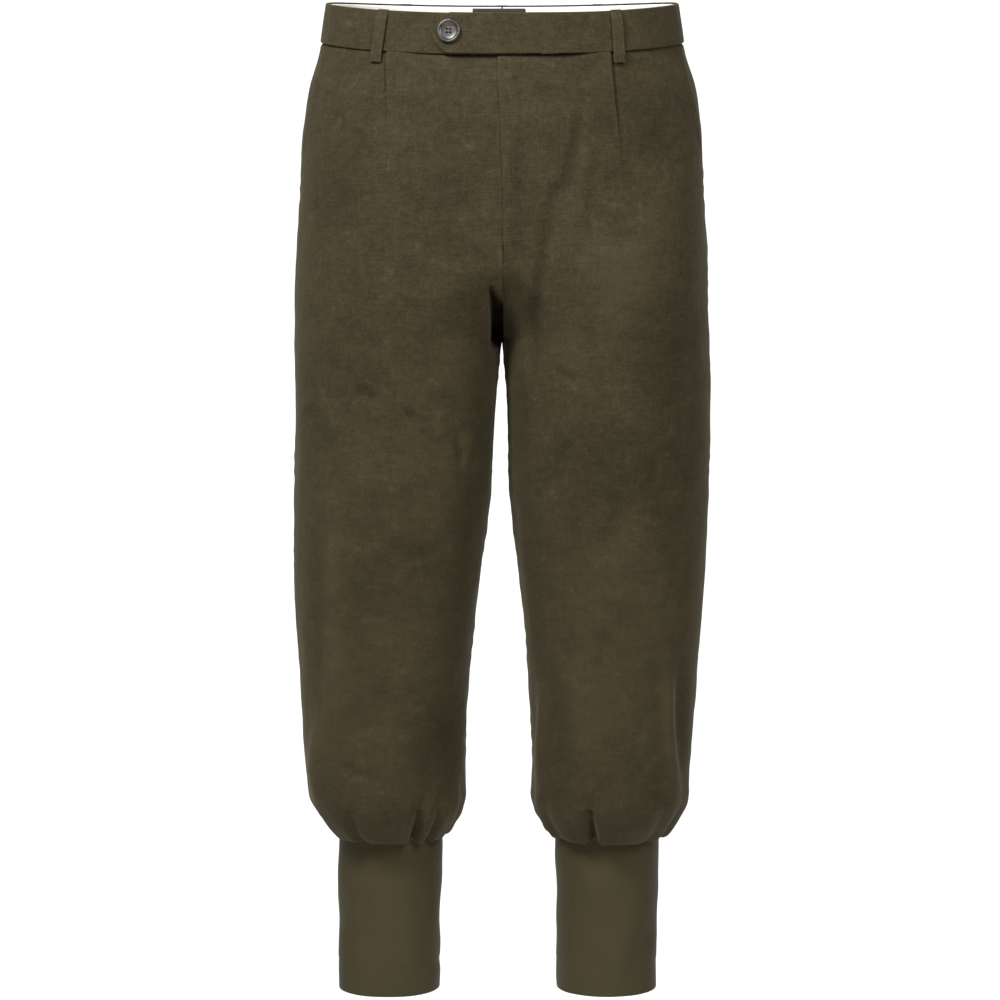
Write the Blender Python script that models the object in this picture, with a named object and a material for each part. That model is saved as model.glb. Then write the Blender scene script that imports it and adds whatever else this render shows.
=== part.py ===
"""Knee breeches with bloused legs and stretch cuffs, filled out as when worn.

Metres, +Z up. The front faces -Y and +X is the wearer's left. The origin is the middle of the
waist opening, level with the top of the waistband at the side seams.

The cloth follows one family of rings. A ring runs round one leg: 0 degrees is the inner leg,
90 the front, 180 the outer leg and 270 the back. Above the crotch each ring is opened at the
inner leg and drawn out to the middle of the body, so the same rings also make the hips. The
crotch seam is the path of the opened ends.
"""

import math
from collections import namedtuple

import bmesh
import bpy
from mathutils import Matrix, Vector

MM = 0.001

GAP = 0.3 * MM  # between two pieces at a seam
CLOTH = 1.5 * MM  # wall of the moleskin panels
CUFF_CLOTH = 1.2 * MM
BAND_CLOTH = 1.8 * MM
LINING_CLOTH = 0.8 * MM
LABEL_CLOTH = 0.6 * MM
LOOP_CLOTH = 1.5 * MM

BAND_HEIGHT = 34.5 * MM
BAND_PROUD = 0.8 * MM  # the band's face stands this far off the line of the cloth below it
WAIST_TILT = 15 * MM  # the back of the waist is this much above the side, the front below it
WAIST_DIP = 6 * MM  # and both are this much lower again
WAIST_HALF_DEPTH = 115 * MM

OUTER_POWER = 2.2  # exponent of a ring's outer quarters, where 2 is an ellipse

FLY_TOP_EDGE = -5 * MM  # the left front's edge, past the middle of the body
FLY_LOW_EDGE = -0.5 * MM
FLY_UNDERLAP = 14 * MM  # the right front runs this far under the left one
FLY_BOTTOM = -213 * MM
FLY_TURN = 3 * MM  # the underlap ends over this height
FLY_SINK = 16 * MM  # and the lapped edge lies down over this height
FLY_LIFT = 2.3 * MM
FLY_EASE = 45 * MM

PLEAT_PROUD = 3 * MM
PLEAT_STEP = 1.6 * MM  # width of the drop at the fold
PLEAT_EASE = 34 * MM  # the cloth rises to the fold over this width

WAIST_STATIONS = 24
TAB_LIFT = 2.6 * MM
TAB_EASE = 18  # degrees round the waist over which the left band comes back to its line
LOOP_WIDTH = 10.5 * MM
LOOP_DROP = 10 * MM  # a loop ends this far below the waist seam
LOOP_STAND = 2.2 * MM  # and stands this far off the band half way down
BUTTON_X = -44.8 * MM
BUTTON_DROP = 16.5 * MM
LABEL_X = -2.8 * MM
LABEL_WIDTH = 48 * MM
LABEL_HEIGHT = 24 * MM
LABEL_DROP = 2.6 * MM

# One row for each section of the cloth, in millimetres and degrees, from the top down and then
# round the bloused hem and up to the cuff seam. outer and inner are the ring's reach in X, flat
# the X of its furthest places in front and behind, front and back its reach in Y there, and
# middle the Y of its widest line. front_open and back_open say where the ring is opened, corner
# how square the inner leg is, turn how far the side seam is forward of the widest line, and sway
# how far the section hangs to the wearer's left.
Section = namedtuple(
    "Section", "z outer inner flat front back middle front_open back_open corner turn sway"
)
PANEL_SECTIONS = [
    Section(15, 153, 0, 0, 109, 111, -2, 90, 90, 3.4, 24, 1.0),
    Section(-40, 161.4, 0, 10, 115, 118, -2, 88, 88, 3.4, 25, 1.0),
    Section(-75, 171, 0, 24, 119, 126, -2, 87, 87, 3.4, 27, 1.2),
    Section(-120, 177.5, 0, 44, 121, 134, -2, 86, 84, 3.4, 20, 1.5),
    Section(-170, 180, 0, 64, 120, 138, -1, 85, 79, 3.4, 9, 2),
    Section(-220, 182.5, 0, 79, 117, 137, 0, 80, 69, 3.4, 3, 2),
    Section(-248, 183.5, 0, 85, 115, 133, 0, 62, 55, 3.4, 1, 1.5),
    Section(-272, 184, 0, 89, 113, 128, 0, 43, 38, 3.4, 0, 1),
    Section(-293, 184.3, 0, 92, 111, 122, 0, 21, 18, 3.3, 0, 1),
    Section(-306, 184.5, 0.3, 92.4, 110, 118, 0, 0, 0, 3.2, 0, 0.6),
    Section(-350, 185, 3.8, 94.4, 108, 110, 0, 0, 0, 3.1, 0, 0.3),
    Section(-400, 186, 7, 96.5, 106, 104, 0, 0, 0, 2.9, 0, -0.3),
    Section(-455, 185.8, 12, 98.9, 103, 99, 0, 0, 0, 2.7, 0, -0.8),
    Section(-510, 184, 17.8, 100.9, 100, 96, 0, 0, 0, 2.5, 0, -1.4),
    Section(-565, 181.8, 23.3, 102.5, 97, 94, 0, 0, 0, 2.4, 0, -1.8),
    Section(-620, 178, 27.6, 102.8, 93, 91, 0, 0, 0, 2.3, 0, -2.3),
    Section(-670, 173.2, 29.6, 101.4, 89, 88, 0, 0, 0, 2.2, 0, -2.7),
    Section(-700, 170, 31, 100.5, 86, 86, 1, 0, 0, 2.2, 0, -2.8),
    Section(-713, 168, 31.6, 99.8, 84, 84, 2, 0, 0, 2.2, 0, -2.8),
    Section(-725, 162, 35.5, 98.8, 78.5, 80, 3, 0, 0, 2.1, 0, -2.7),
    Section(-735, 156, 41.5, 98.8, 70.5, 74, 4, 0, 0, 2.1, 0, -2.6),
    Section(-742, 150.5, 46, 98.3, 61, 67, 4, 0, 0, 2.1, 0, -2.5),
    Section(-744, 147.6, 48.2, 97.9, 53.5, 62, 4, 0, 0, 2.1, 0, -2.5),
    Section(-737, 146.1, 49.6, 97.9, 49.2, 58.5, 4, 0, 0, 2.1, 0, -2.5),
    Section(-722, 145.9, 49.8, 97.9, 48.7, 57.9, 4, 0, 0, 2.1, 0, -2.5),
]
CUFF_SECTIONS = [
    Section(-715, 145.1, 50.6, 97.9, 47.8, 57.0, 4, 0, 0, 2.1, 0, -2.5),
    Section(-760, 145.0, 50.8, 97.9, 47.4, 56.8, 4, 0, 0, 2.1, 0, -2.5),
    Section(-800, 144.8, 51.8, 98.3, 46.5, 56.0, 4, 0, 0, 2.1, 0, -2.5),
    Section(-842, 144.5, 52.6, 98.6, 45.5, 54.0, 4, 0, 0, 2.1, 0, -2.5),
    Section(-885, 144.4, 53.0, 98.7, 44.5, 52.0, 4, 0, 0, 2.1, 0, -2.5),
]
CROTCH_LEVEL = 9  # the panel section where the leg rings close
SEAM_ANGLE = 0.1  # half the gap between the front and the back of a leg, in degrees
HEM_START = 17  # where the cloth begins to turn under
HEM_DEEPEST = 21
HEM_SETTLED = 22  # the gathers are drawn flat by here

# Heights of the rows of a panel down to the crotch curve, in millimetres, and then its levels.
PANEL_HEIGHTS = [-34.8, -48, -64, -84, -106, -130, -156, -184, -213, -216, -231]
PANEL_LEVELS = [6, 6.5, 7, 7.5, 8, 8.5, 9, 9.5] + list(range(10, 25))

# The folds that the gathered hem is drawn into: where on the ring, how deep and how wide.
Gather = namedtuple("Gather", "angle depth width")
GATHERS = {
    "left": [
        Gather(78, 9, 9),
        Gather(118, 5, 9),
        Gather(158, 5, 10),
        Gather(236, 8, 11),
        Gather(296, 7, 10),
    ],
    "right": [
        Gather(50, 8, 9),
        Gather(114, 7, 10),
        Gather(206, 7, 11),
        Gather(262, 8, 10),
        Gather(318, 6, 10),
    ],
}

# The front pleats: the fold's place at the waist seam, how far it runs outwards for each metre
# down, and how far down it shows.
Pleat = namedtuple("Pleat", "x drift length")
PLEATS = {
    "left": Pleat(91.5, 0.09, 125),
    "right": Pleat(98.5, 0.0, 95),
}

# Belt loops: the angle round the waist from the centre front towards the wearer's left, at the
# top of the band and at the loop's lower end.
Loop = namedtuple("Loop", "name top bottom")
LOOPS = [
    Loop("belt_loop_front_right", -30.3, -31),
    Loop("belt_loop_front_left", 28.4, 27.8),
    Loop("belt_loop_back_right", -156, -156),
    Loop("belt_loop_back_left", 156, 156),
    Loop("belt_loop_back_centre", 180, 180),
]

# The waistband's tab from its tip to its full height: the distance past the middle in
# millimetres, and the shares of the band's height where its lower and upper edges are.
Tab = namedtuple("Tab", "x low high")
TAB_OUTLINE = [
    Tab(-58.0, 0.36, 0.60),
    Tab(-54.5, 0.20, 0.80),
    Tab(-49.5, 0.05, 0.98),
    Tab(-44.5, 0.0, 1.0),
]

# Colour and roughness
MATERIALS = {
    "moleskin": ((0.066, 0.054, 0.028), 0.85),
    "stretch": ((0.070, 0.062, 0.034), 0.6),
    "lining": ((0.74, 0.71, 0.60), 0.9),
    "label": ((0.02, 0.022, 0.025), 0.7),
    "horn": ((0.05, 0.048, 0.05), 0.3),
}


def smooth(value):
    """0 below 0, 1 above 1, and an even S between."""
    value = min(1.0, max(0.0, value))
    return value * value * (3 - 2 * value)


def mix(a, b, share):
    return a + (b - a) * share


def blended(rows, level):
    """The section at a level, where a whole number is a row of the table and the rest lies on
    a smooth curve through the rows."""
    last = len(rows) - 1
    at = min(max(0, int(level)), last - 1)
    t = level - at
    near = [rows[min(last, max(0, at + step))] for step in (-1, 0, 1, 2)]
    values = []
    for p0, p1, p2, p3 in zip(*near, strict=True):
        bend = 2 * p0 - 5 * p1 + 4 * p2 - p3
        twist = 3 * p1 - p0 - 3 * p2 + p3
        values.append(p1 + 0.5 * t * (p2 - p0 + t * (bend + t * twist)))
    section = Section(*values)
    return section._replace(
        front_open=max(0.0, section.front_open), back_open=max(0.0, section.back_open)
    )


def level_at(z):
    """The level of the panel table at a height above the hem."""
    low, high = 0.0, float(HEM_START)
    for _ in range(30):
        middle = (low + high) / 2
        if blended(PANEL_SECTIONS, middle).z * MM > z:
            low = middle
        else:
            high = middle
    return (low + high) / 2


def ring(section, angle):
    """The place on a ring before it is drawn out, as X and Y in metres."""
    a = math.radians(angle)
    half_width = (section.outer - section.inner) / 2
    depth = section.front + section.middle if math.sin(a) >= 0 else section.back - section.middle
    power = section.corner if math.cos(a) > 0 else OUTER_POWER
    sides = abs(math.cos(a) / half_width) ** power + abs(math.sin(a) / depth) ** power
    reach = sides ** (-1 / power)
    x = (section.outer + section.inner) / 2 - reach * math.cos(a)
    y = section.middle - reach * math.sin(a)
    return x * MM, y * MM


def drawn_out(section, angle):
    """The place on a ring once it is opened and its ends are drawn out to the middle."""
    x, y = ring(section, angle)
    outer, inner, flat = section.outer * MM, section.inner * MM, section.flat * MM
    centre = (outer + inner) / 2
    if x >= centre:
        return flat + (outer - flat) * (x - centre) / (outer - centre), y
    opened = section.front_open if angle <= 180 else 360 - section.back_open
    first = ring(section, opened)[0] if section.front_open < 90 else centre - 1
    return flat - (flat - inner) * (centre - x) / (centre - first), y


def hung_height(y, z):
    """A height that follows the slope of the waist near the waist and is level lower down."""
    share = y / WAIST_HALF_DEPTH
    slope = WAIST_TILT * share - WAIST_DIP * share * share
    return z + slope * smooth(1 + (z + 40 * MM) / (90 * MM))


def cloth(level, angle):
    """A point of the cloth of the left leg, before its pleat, fly and gathers."""
    section = blended(PANEL_SECTIONS, level)
    x, y = drawn_out(section, angle)
    return Vector((x, y, hung_height(y, section.z * MM)))


def outward(level, angle):
    """The direction out of the cloth of the left leg."""
    along = cloth(level, angle + 0.5) - cloth(level, angle - 0.5)
    down = cloth(level + 0.04, angle) - cloth(level - 0.04, angle)
    return down.cross(along).normalized()


def angle_where(level, x):
    """The angle in front, or at the outer leg, where a row reaches x."""
    section = blended(PANEL_SECTIONS, level)
    low, high = min(90.0, section.front_open), 180.0
    for _ in range(30):
        middle = (low + high) / 2
        if drawn_out(section, middle)[0] < x:
            low = middle
        else:
            high = middle
    return (low + high) / 2


def in_fly(z):
    return smooth((z - FLY_BOTTOM + FLY_TURN) / FLY_TURN)


def fly_edge(side, z):
    """Where a front's centre edge is, from the middle of the body towards its own side."""
    down = smooth(z / FLY_BOTTOM)
    edge = mix(FLY_TOP_EDGE, FLY_LOW_EDGE, down) if side == "left" else -FLY_UNDERLAP
    return mix(GAP / 2, edge, in_fly(z))


def rise(side, x, z):
    """How far a front stands out for its lapped fly edge and its pleat."""
    pleat = PLEATS[side]
    below = -BAND_HEIGHT - z
    before = pleat.x * MM + pleat.drift * below - x
    high = PLEAT_PROUD * smooth(1 - below / (pleat.length * MM))
    total = high * smooth(1 - before / PLEAT_EASE) if before >= 0 else 0.0
    if side == "left":
        lapped = smooth((z - FLY_BOTTOM + FLY_TURN + FLY_SINK) / FLY_SINK)
        total += FLY_LIFT * lapped * smooth(1 - (x - FLY_UNDERLAP) / FLY_EASE)
    return total


def drawn_in(side, level, angle):
    """How far the gathers draw the bloused hem in."""
    share = smooth((level - HEM_START + 1.2) / (HEM_DEEPEST - HEM_START))
    share *= smooth((HEM_SETTLED - level) / 2)
    total = 0.0
    for fold in GATHERS[side]:
        off = (angle - fold.angle + 180) % 360 - 180
        total += fold.depth * MM * math.exp(-((off / fold.width) ** 2))
    return total * share


def front_angles(side, level, z):
    """The columns of a front: to the pleat's fold, over its drop, and on to the side seam."""
    pleat = PLEATS[side]
    below = max(0.0, -BAND_HEIGHT - z)
    fold_x = pleat.x * MM + pleat.drift * min(below, pleat.length * MM)
    before = angle_where(level, fold_x)
    after = angle_where(level, fold_x + PLEAT_STEP + 10 * MM * smooth((below - 0.13) / 0.2))
    section = blended(PANEL_SECTIONS, level)
    start = section.front_open if level < CROTCH_LEVEL else SEAM_ANGLE
    end = 180 - section.turn - SEAM_ANGLE
    return (
        [mix(start, before, i / 7) for i in range(8)]
        + [mix(after, end, i / 4) for i in range(5)]
    )


def back_angles(level):
    section = blended(PANEL_SECTIONS, level)
    start = 180 - section.turn + SEAM_ANGLE
    end = 360 - (section.back_open if level < CROTCH_LEVEL else SEAM_ANGLE)
    return [mix(start, end, i / 12) for i in range(13)]


def panel_point(side, part, level, angle, start):
    """A point of a panel and its direction out, on the left leg."""
    point = cloth(level, angle)
    # Just below the crotch the rows lean with the leg, and the row at the crotch does too.
    out = outward(max(level, CROTCH_LEVEL + 0.3) if level >= CROTCH_LEVEL else level, angle)
    if point.x < 2 * MM:
        # A wall at the centre seam never leans over to the other side.
        out.x = min(out.x, 0.0)
        out.normalize()
    if level < CROTCH_LEVEL:
        # The row is slid along so that its centre edge is at the fly's edge, or clear of the
        # other side's panel.
        near = smooth(1 - point.x / (60 * MM))
        point.x += start * near
    if part == "front" and level < CROTCH_LEVEL:
        point += out * rise(side, point.x, point.z)
    if level > HEM_START - 2:
        point -= out * drawn_in(side, level, angle)
    return point, out


def placed(side, level, point, out):
    """A left leg's point and direction, moved to its own side of the body."""
    way = 1 if side == "left" else -1
    sway = blended(PANEL_SECTIONS, level).sway * MM
    return Vector((way * point.x + sway, point.y, point.z)), Vector((way * out.x, out.y, out.z))


def shell(name, rows, thickness, material, closed=False):
    """A closed wall on rows of points, each with its direction out."""
    mesh = bpy.data.meshes.new(name)
    bm = bmesh.new()
    faces = []
    for depth in (0, thickness):
        faces.append([[bm.verts.new(point - out * depth) for point, out in row] for row in rows])
    outer, inner = faces
    count = len(rows[0])
    across = range(count if closed else count - 1)
    for grid in faces:
        for upper, lower in zip(grid, grid[1:]):
            for i in across:
                j = (i + 1) % count
                bm.faces.new((upper[i], lower[i], lower[j], upper[j]))
    for i in across:
        j = (i + 1) % count
        for row in (0, -1):
            bm.faces.new((outer[row][i], outer[row][j], inner[row][j], inner[row][i]))
    if not closed:
        for row in range(len(rows) - 1):
            for end in (0, -1):
                bm.faces.new(
                    (outer[row][end], outer[row + 1][end], inner[row + 1][end], inner[row][end])
                )
    bmesh.ops.recalc_face_normals(bm, faces=bm.faces)
    bm.to_mesh(mesh)
    bm.free()
    body = bpy.data.objects.new(name, mesh)
    bpy.data.collections[COLLECTION].objects.link(body)
    mesh.materials.append(material)
    return body


def panel(side, part, material):
    """One leg panel, from the waist seam to the cuff seam."""
    levels = [level_at(z * MM) for z in PANEL_HEIGHTS] + PANEL_LEVELS
    rows = []
    for level in levels:
        z = blended(PANEL_SECTIONS, level).z * MM
        if part == "front":
            angles = front_angles(side, level, z)
            start = fly_edge(side, z)
        else:
            angles = back_angles(level)
            start = GAP / 2
        row = []
        for angle in angles:
            point, out = panel_point(side, part, level, angle, start)
            row.append(placed(side, level, point, out))
        rows.append(row)
    shell(f"{part}_{side}", rows, CLOTH, material)


def cuff(side, material):
    """The stretch tube below the bloused hem."""
    rows = []
    way = 1 if side == "left" else -1
    for section in CUFF_SECTIONS:
        row = []
        for i in range(24):
            x, y = ring(section, 15 * i)
            ahead, behind = ring(section, 15 * i + 1), ring(section, 15 * i - 1)
            out = Vector((behind[1] - ahead[1], ahead[0] - behind[0], 0)).normalized() * -1
            point = Vector((way * x + section.sway * MM, y, section.z * MM))
            row.append((point, Vector((way * out.x, out.y, 0))))
        rows.append(row)
    shell(f"cuff_{side}", rows, CUFF_CLOTH, material, closed=True)


def waist_place(turn, drop, proud):
    """The point at an angle round the waist, a distance below the top of the band and a distance
    out of the line of the cloth, with its direction out."""
    turn = (turn + 180) % 360 - 180
    side = "right" if turn < 0 else "left"
    level = level_at(-drop)
    section = blended(PANEL_SECTIONS, level)
    angle = mix(section.front_open, 360 - section.back_open, abs(turn) / 180)
    point, out = cloth(level, angle), outward(level, angle)
    point, out = placed(side, level, point, out)
    return point + out * proud, out


def turn_at(x):
    """The angle round the front of the waist where the cloth is at x."""
    level = level_at(-BAND_HEIGHT / 2)
    section = blended(PANEL_SECTIONS, level)
    start, end = section.front_open, 360 - section.back_open
    return math.copysign(180 * (angle_where(level, abs(x)) - start) / (end - start), x)


def strip(name, stations, thickness, material, across=2):
    """A wall round the waist. A station is an angle, the drops of the top and bottom edges, and
    how far the face stands out."""
    rows = []
    for i in range(across + 1):
        rows.append([waist_place(s[0], mix(s[1], s[2], i / across), s[3]) for s in stations])
    shell(name, rows, thickness, material)


def waist_turns():
    """The angles, from the centre front to the centre back, that everything sewn into the waist
    shares."""
    back = 180 - math.degrees(GAP / 2 / WAIST_HALF_DEPTH)
    return [back * i / WAIST_STATIONS for i in range(WAIST_STATIONS + 1)]


def waistbands(material):
    """The left band, which ends in the tab, and the right band, which runs under it."""
    lapped = BAND_PROUD + TAB_LIFT
    left = []
    for end in TAB_OUTLINE:
        top, bottom = (1 - end.high) * BAND_HEIGHT, (1 - end.low) * BAND_HEIGHT
        left.append((turn_at(end.x * MM), top, bottom, lapped))
    left += [(turn, 0.0, BAND_HEIGHT, lapped) for turn in (-14, -7)]
    for turn in waist_turns():
        proud = BAND_PROUD + TAB_LIFT * smooth(1 - (turn - 6) / TAB_EASE)
        left.append((turn, 0.0, BAND_HEIGHT, proud))
    strip("waistband_left", left, BAND_CLOTH, material)
    right = [(turn, 0.0, BAND_HEIGHT, BAND_PROUD) for turn in [5] + [-t for t in waist_turns()]]
    strip("waistband_right", right, BAND_CLOTH, material)


def waist_linings(material):
    """The pale strips inside the bands, set a little below their top edge."""
    proud = BAND_PROUD - BAND_CLOTH - GAP
    for side, way in (("left", 1), ("right", -1)):
        places = [
            (way * turn, 1.5 * MM, BAND_HEIGHT - 1 * MM, proud) for turn in waist_turns()[1:]
        ]
        strip(f"waist_lining_{side}", places, LINING_CLOTH, material, across=1)


def label(material):
    """The plain label inside the centre back."""
    proud = BAND_PROUD - BAND_CLOTH - LINING_CLOTH - 2 * GAP - 0.6 * MM
    places = []
    for i in range(5):
        x = LABEL_X + LABEL_WIDTH * (i / 4 - 0.5)
        turn = 180 - math.copysign(turn_at(abs(x)), x)
        places.append((turn, LABEL_DROP, LABEL_DROP + LABEL_HEIGHT, proud))
    strip("label", places, LABEL_CLOTH, material, across=1)


def belt_loop(loop, material):
    """A strap from the top of the band to below the waist seam, standing clear between."""
    sewn = BAND_PROUD + GAP + LOOP_CLOTH
    if abs(loop.top) < 30:
        sewn += TAB_LIFT
    near = [waist_place(loop.top + step, BAND_HEIGHT / 2, 0)[0] for step in (-0.25, 0.25)]
    half = LOOP_WIDTH / 2 / (near[1] - near[0]).length * 0.5
    length = BAND_HEIGHT + LOOP_DROP
    rows = []
    for i in range(9):
        share = i / 8
        drop = mix(0.2 * MM, length, share)
        turn = mix(loop.top, loop.bottom, share)
        proud = sewn + LOOP_STAND * smooth(share / 0.25) * smooth((1 - share) / 0.25)
        rows.append([waist_place(turn + half * k, drop, proud) for k in (-1, 0, 1)])
    shell(loop.name, rows, LOOP_CLOTH, material)


# The button's turned profile in millimetres: radius and height above its underside.
Turn = namedtuple("Turn", "radius height")
BUTTON_PROFILE = [
    Turn(7.5, 0.0),
    Turn(9.6, 0.9),
    Turn(10.2, 2.0),
    Turn(9.7, 3.0),
    Turn(8.7, 3.2),
    Turn(7.7, 2.5),
    Turn(6.6, 2.1),
]
HOLE_RADIUS = 0.95 * MM
HOLE_AT = 2.1 * MM  # from the button's centre, along each diagonal


def button(material):
    """A four-hole button on the tab."""
    mesh = bpy.data.meshes.new("button")
    bm = bmesh.new()
    count = 20
    rings = []
    for turn in BUTTON_PROFILE:
        ring_of = []
        for i in range(count):
            a = math.tau * i / count
            x, y = turn.radius * MM * math.cos(a), turn.radius * MM * math.sin(a)
            ring_of.append(bm.verts.new((x, y, turn.height * MM)))
        rings.append(ring_of)
    for lower, upper in zip(rings, rings[1:]):
        for i in range(count):
            j = (i + 1) % count
            bm.faces.new((lower[i], lower[j], upper[j], upper[i]))
    bm.faces.new(rings[0][::-1])
    bm.faces.new(rings[-1])
    bm.to_mesh(mesh)
    bm.free()
    body = bpy.data.objects.new("button", mesh)
    bpy.data.collections[COLLECTION].objects.link(body)
    mesh.materials.append(material)
    drills = bpy.data.meshes.new("button_holes")
    bm = bmesh.new()
    for x in (-1, 1):
        for y in (-1, 1):
            at = Matrix.Translation((x * HOLE_AT * 0.7, y * HOLE_AT * 0.7, 1 * MM))
            bmesh.ops.create_cone(
                bm,
                cap_ends=True,
                segments=8,
                radius1=HOLE_RADIUS,
                radius2=HOLE_RADIUS,
                depth=8 * MM,
                matrix=at,
            )
    bm.to_mesh(drills)
    bm.free()
    cutter = bpy.data.objects.new("button_holes", drills)
    bpy.data.collections[CUTTERS].objects.link(cutter)
    cutter.hide_render = True
    cutter.display_type = "WIRE"
    drilled = body.modifiers.new("holes", "BOOLEAN")
    drilled.operation = "DIFFERENCE"
    drilled.solver = "EXACT"
    drilled.object = cutter
    place, out = waist_place(turn_at(BUTTON_X), BUTTON_DROP, BAND_PROUD + TAB_LIFT + GAP)
    across = Vector((0, 0, 1)).cross(out).normalized()
    up = out.cross(across)
    turned = Matrix((across, up, out)).transposed().to_4x4()
    for thing in (body, cutter):
        thing.matrix_world = Matrix.Translation(place) @ turned


def materials():
    made = {}
    for name, (colour, roughness) in MATERIALS.items():
        material = bpy.data.materials.new(name)
        material.use_nodes = True
        shader = material.node_tree.nodes["Principled BSDF"]
        shader.inputs["Base Color"].default_value = (*colour, 1)
        shader.inputs["Roughness"].default_value = roughness
        material.diffuse_color = (*colour, 1)
        made[name] = material
    return made


COLLECTION = "knee_breeches"
CUTTERS = "cutters"


def main():
    for old in list(bpy.data.objects):
        bpy.data.objects.remove(old)
    for name in (COLLECTION, CUTTERS):
        bpy.context.scene.collection.children.link(bpy.data.collections.new(name))
    made = materials()
    for side in ("left", "right"):
        panel(side, "front", made["moleskin"])
        panel(side, "back", made["moleskin"])
        cuff(side, made["stretch"])
    waistbands(made["moleskin"])
    waist_linings(made["lining"])
    label(made["label"])
    for loop in LOOPS:
        belt_loop(loop, made["moleskin"])
    button(made["horn"])


main()
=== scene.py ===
"""Knee breeches of brushed moleskin with bloused legs and stretch cuffs, in the shape of wear.

Metres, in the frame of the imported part: +Z up, the front faces -Y, +X is the wearer's left. The
cloth follows the same rings as the solids do. A ring runs round one leg: 0 degrees is the inner
leg, 90 the front, 180 the outer leg and 270 the back.
"""

import math
from collections import namedtuple

import bmesh
import bpy
import numpy as np
from mathutils import Matrix, Vector
from mathutils.bvhtree import BVHTree


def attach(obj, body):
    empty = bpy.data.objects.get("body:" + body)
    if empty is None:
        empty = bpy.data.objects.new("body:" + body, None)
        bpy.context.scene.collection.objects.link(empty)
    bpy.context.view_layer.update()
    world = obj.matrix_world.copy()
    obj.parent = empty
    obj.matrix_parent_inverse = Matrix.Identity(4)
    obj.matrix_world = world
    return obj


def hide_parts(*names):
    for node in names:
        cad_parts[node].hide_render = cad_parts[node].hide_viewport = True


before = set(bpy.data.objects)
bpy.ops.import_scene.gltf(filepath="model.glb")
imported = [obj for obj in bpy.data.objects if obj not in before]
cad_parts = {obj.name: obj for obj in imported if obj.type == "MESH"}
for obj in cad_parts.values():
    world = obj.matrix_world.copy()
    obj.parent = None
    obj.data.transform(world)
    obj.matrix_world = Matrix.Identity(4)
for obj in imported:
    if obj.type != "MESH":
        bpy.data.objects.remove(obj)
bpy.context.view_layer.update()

bl_info = {
    "name": "Knee breeches",
    "version": (1, 0, 0),
    "blender": (4, 5, 0),
    "location": "View3D > Sidebar > Breeches",
    "description": "Builds the finished cloth of a pair of knee breeches around their solids",
    "category": "Object",
}

MM = 0.001
ROOT = "root"
WAIST_HALF_DEPTH = 0.115
WAIST_TILT = 15 * MM
WAIST_DIP = 6 * MM
OUTER_POWER = 2.2
CROTCH_LEVEL = 9
HEM_START = 17
HEM_DEEPEST = 21
HEM_SETTLED = 22.6
HEM_TOP = -713 * MM  # the gathers run up the leg from here
GAP = 0.3 * MM  # between two layers of cloth
BAND_HEIGHT = 34.5 * MM
FLY_TOP_EDGE = -5 * MM  # the left front's edge at the waist, past the middle of the body
FLY_LOW_EDGE = -0.5 * MM  # and at the end of the fly
FLY_UNDERLAP = 14 * MM  # the right front runs this far under the left one
PLEAT_EASE = 36 * MM  # the cloth rises to a pleat's fold over this width
HOLLOW_DEPTH = 52 * MM  # how far the fronts turn in between the legs
LOOP_CLOTH = 1.5 * MM
LABEL_CLOTH = 0.6 * MM
CENTRE_BACK = 179.86  # degrees round the waist, just short of the other half

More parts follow.
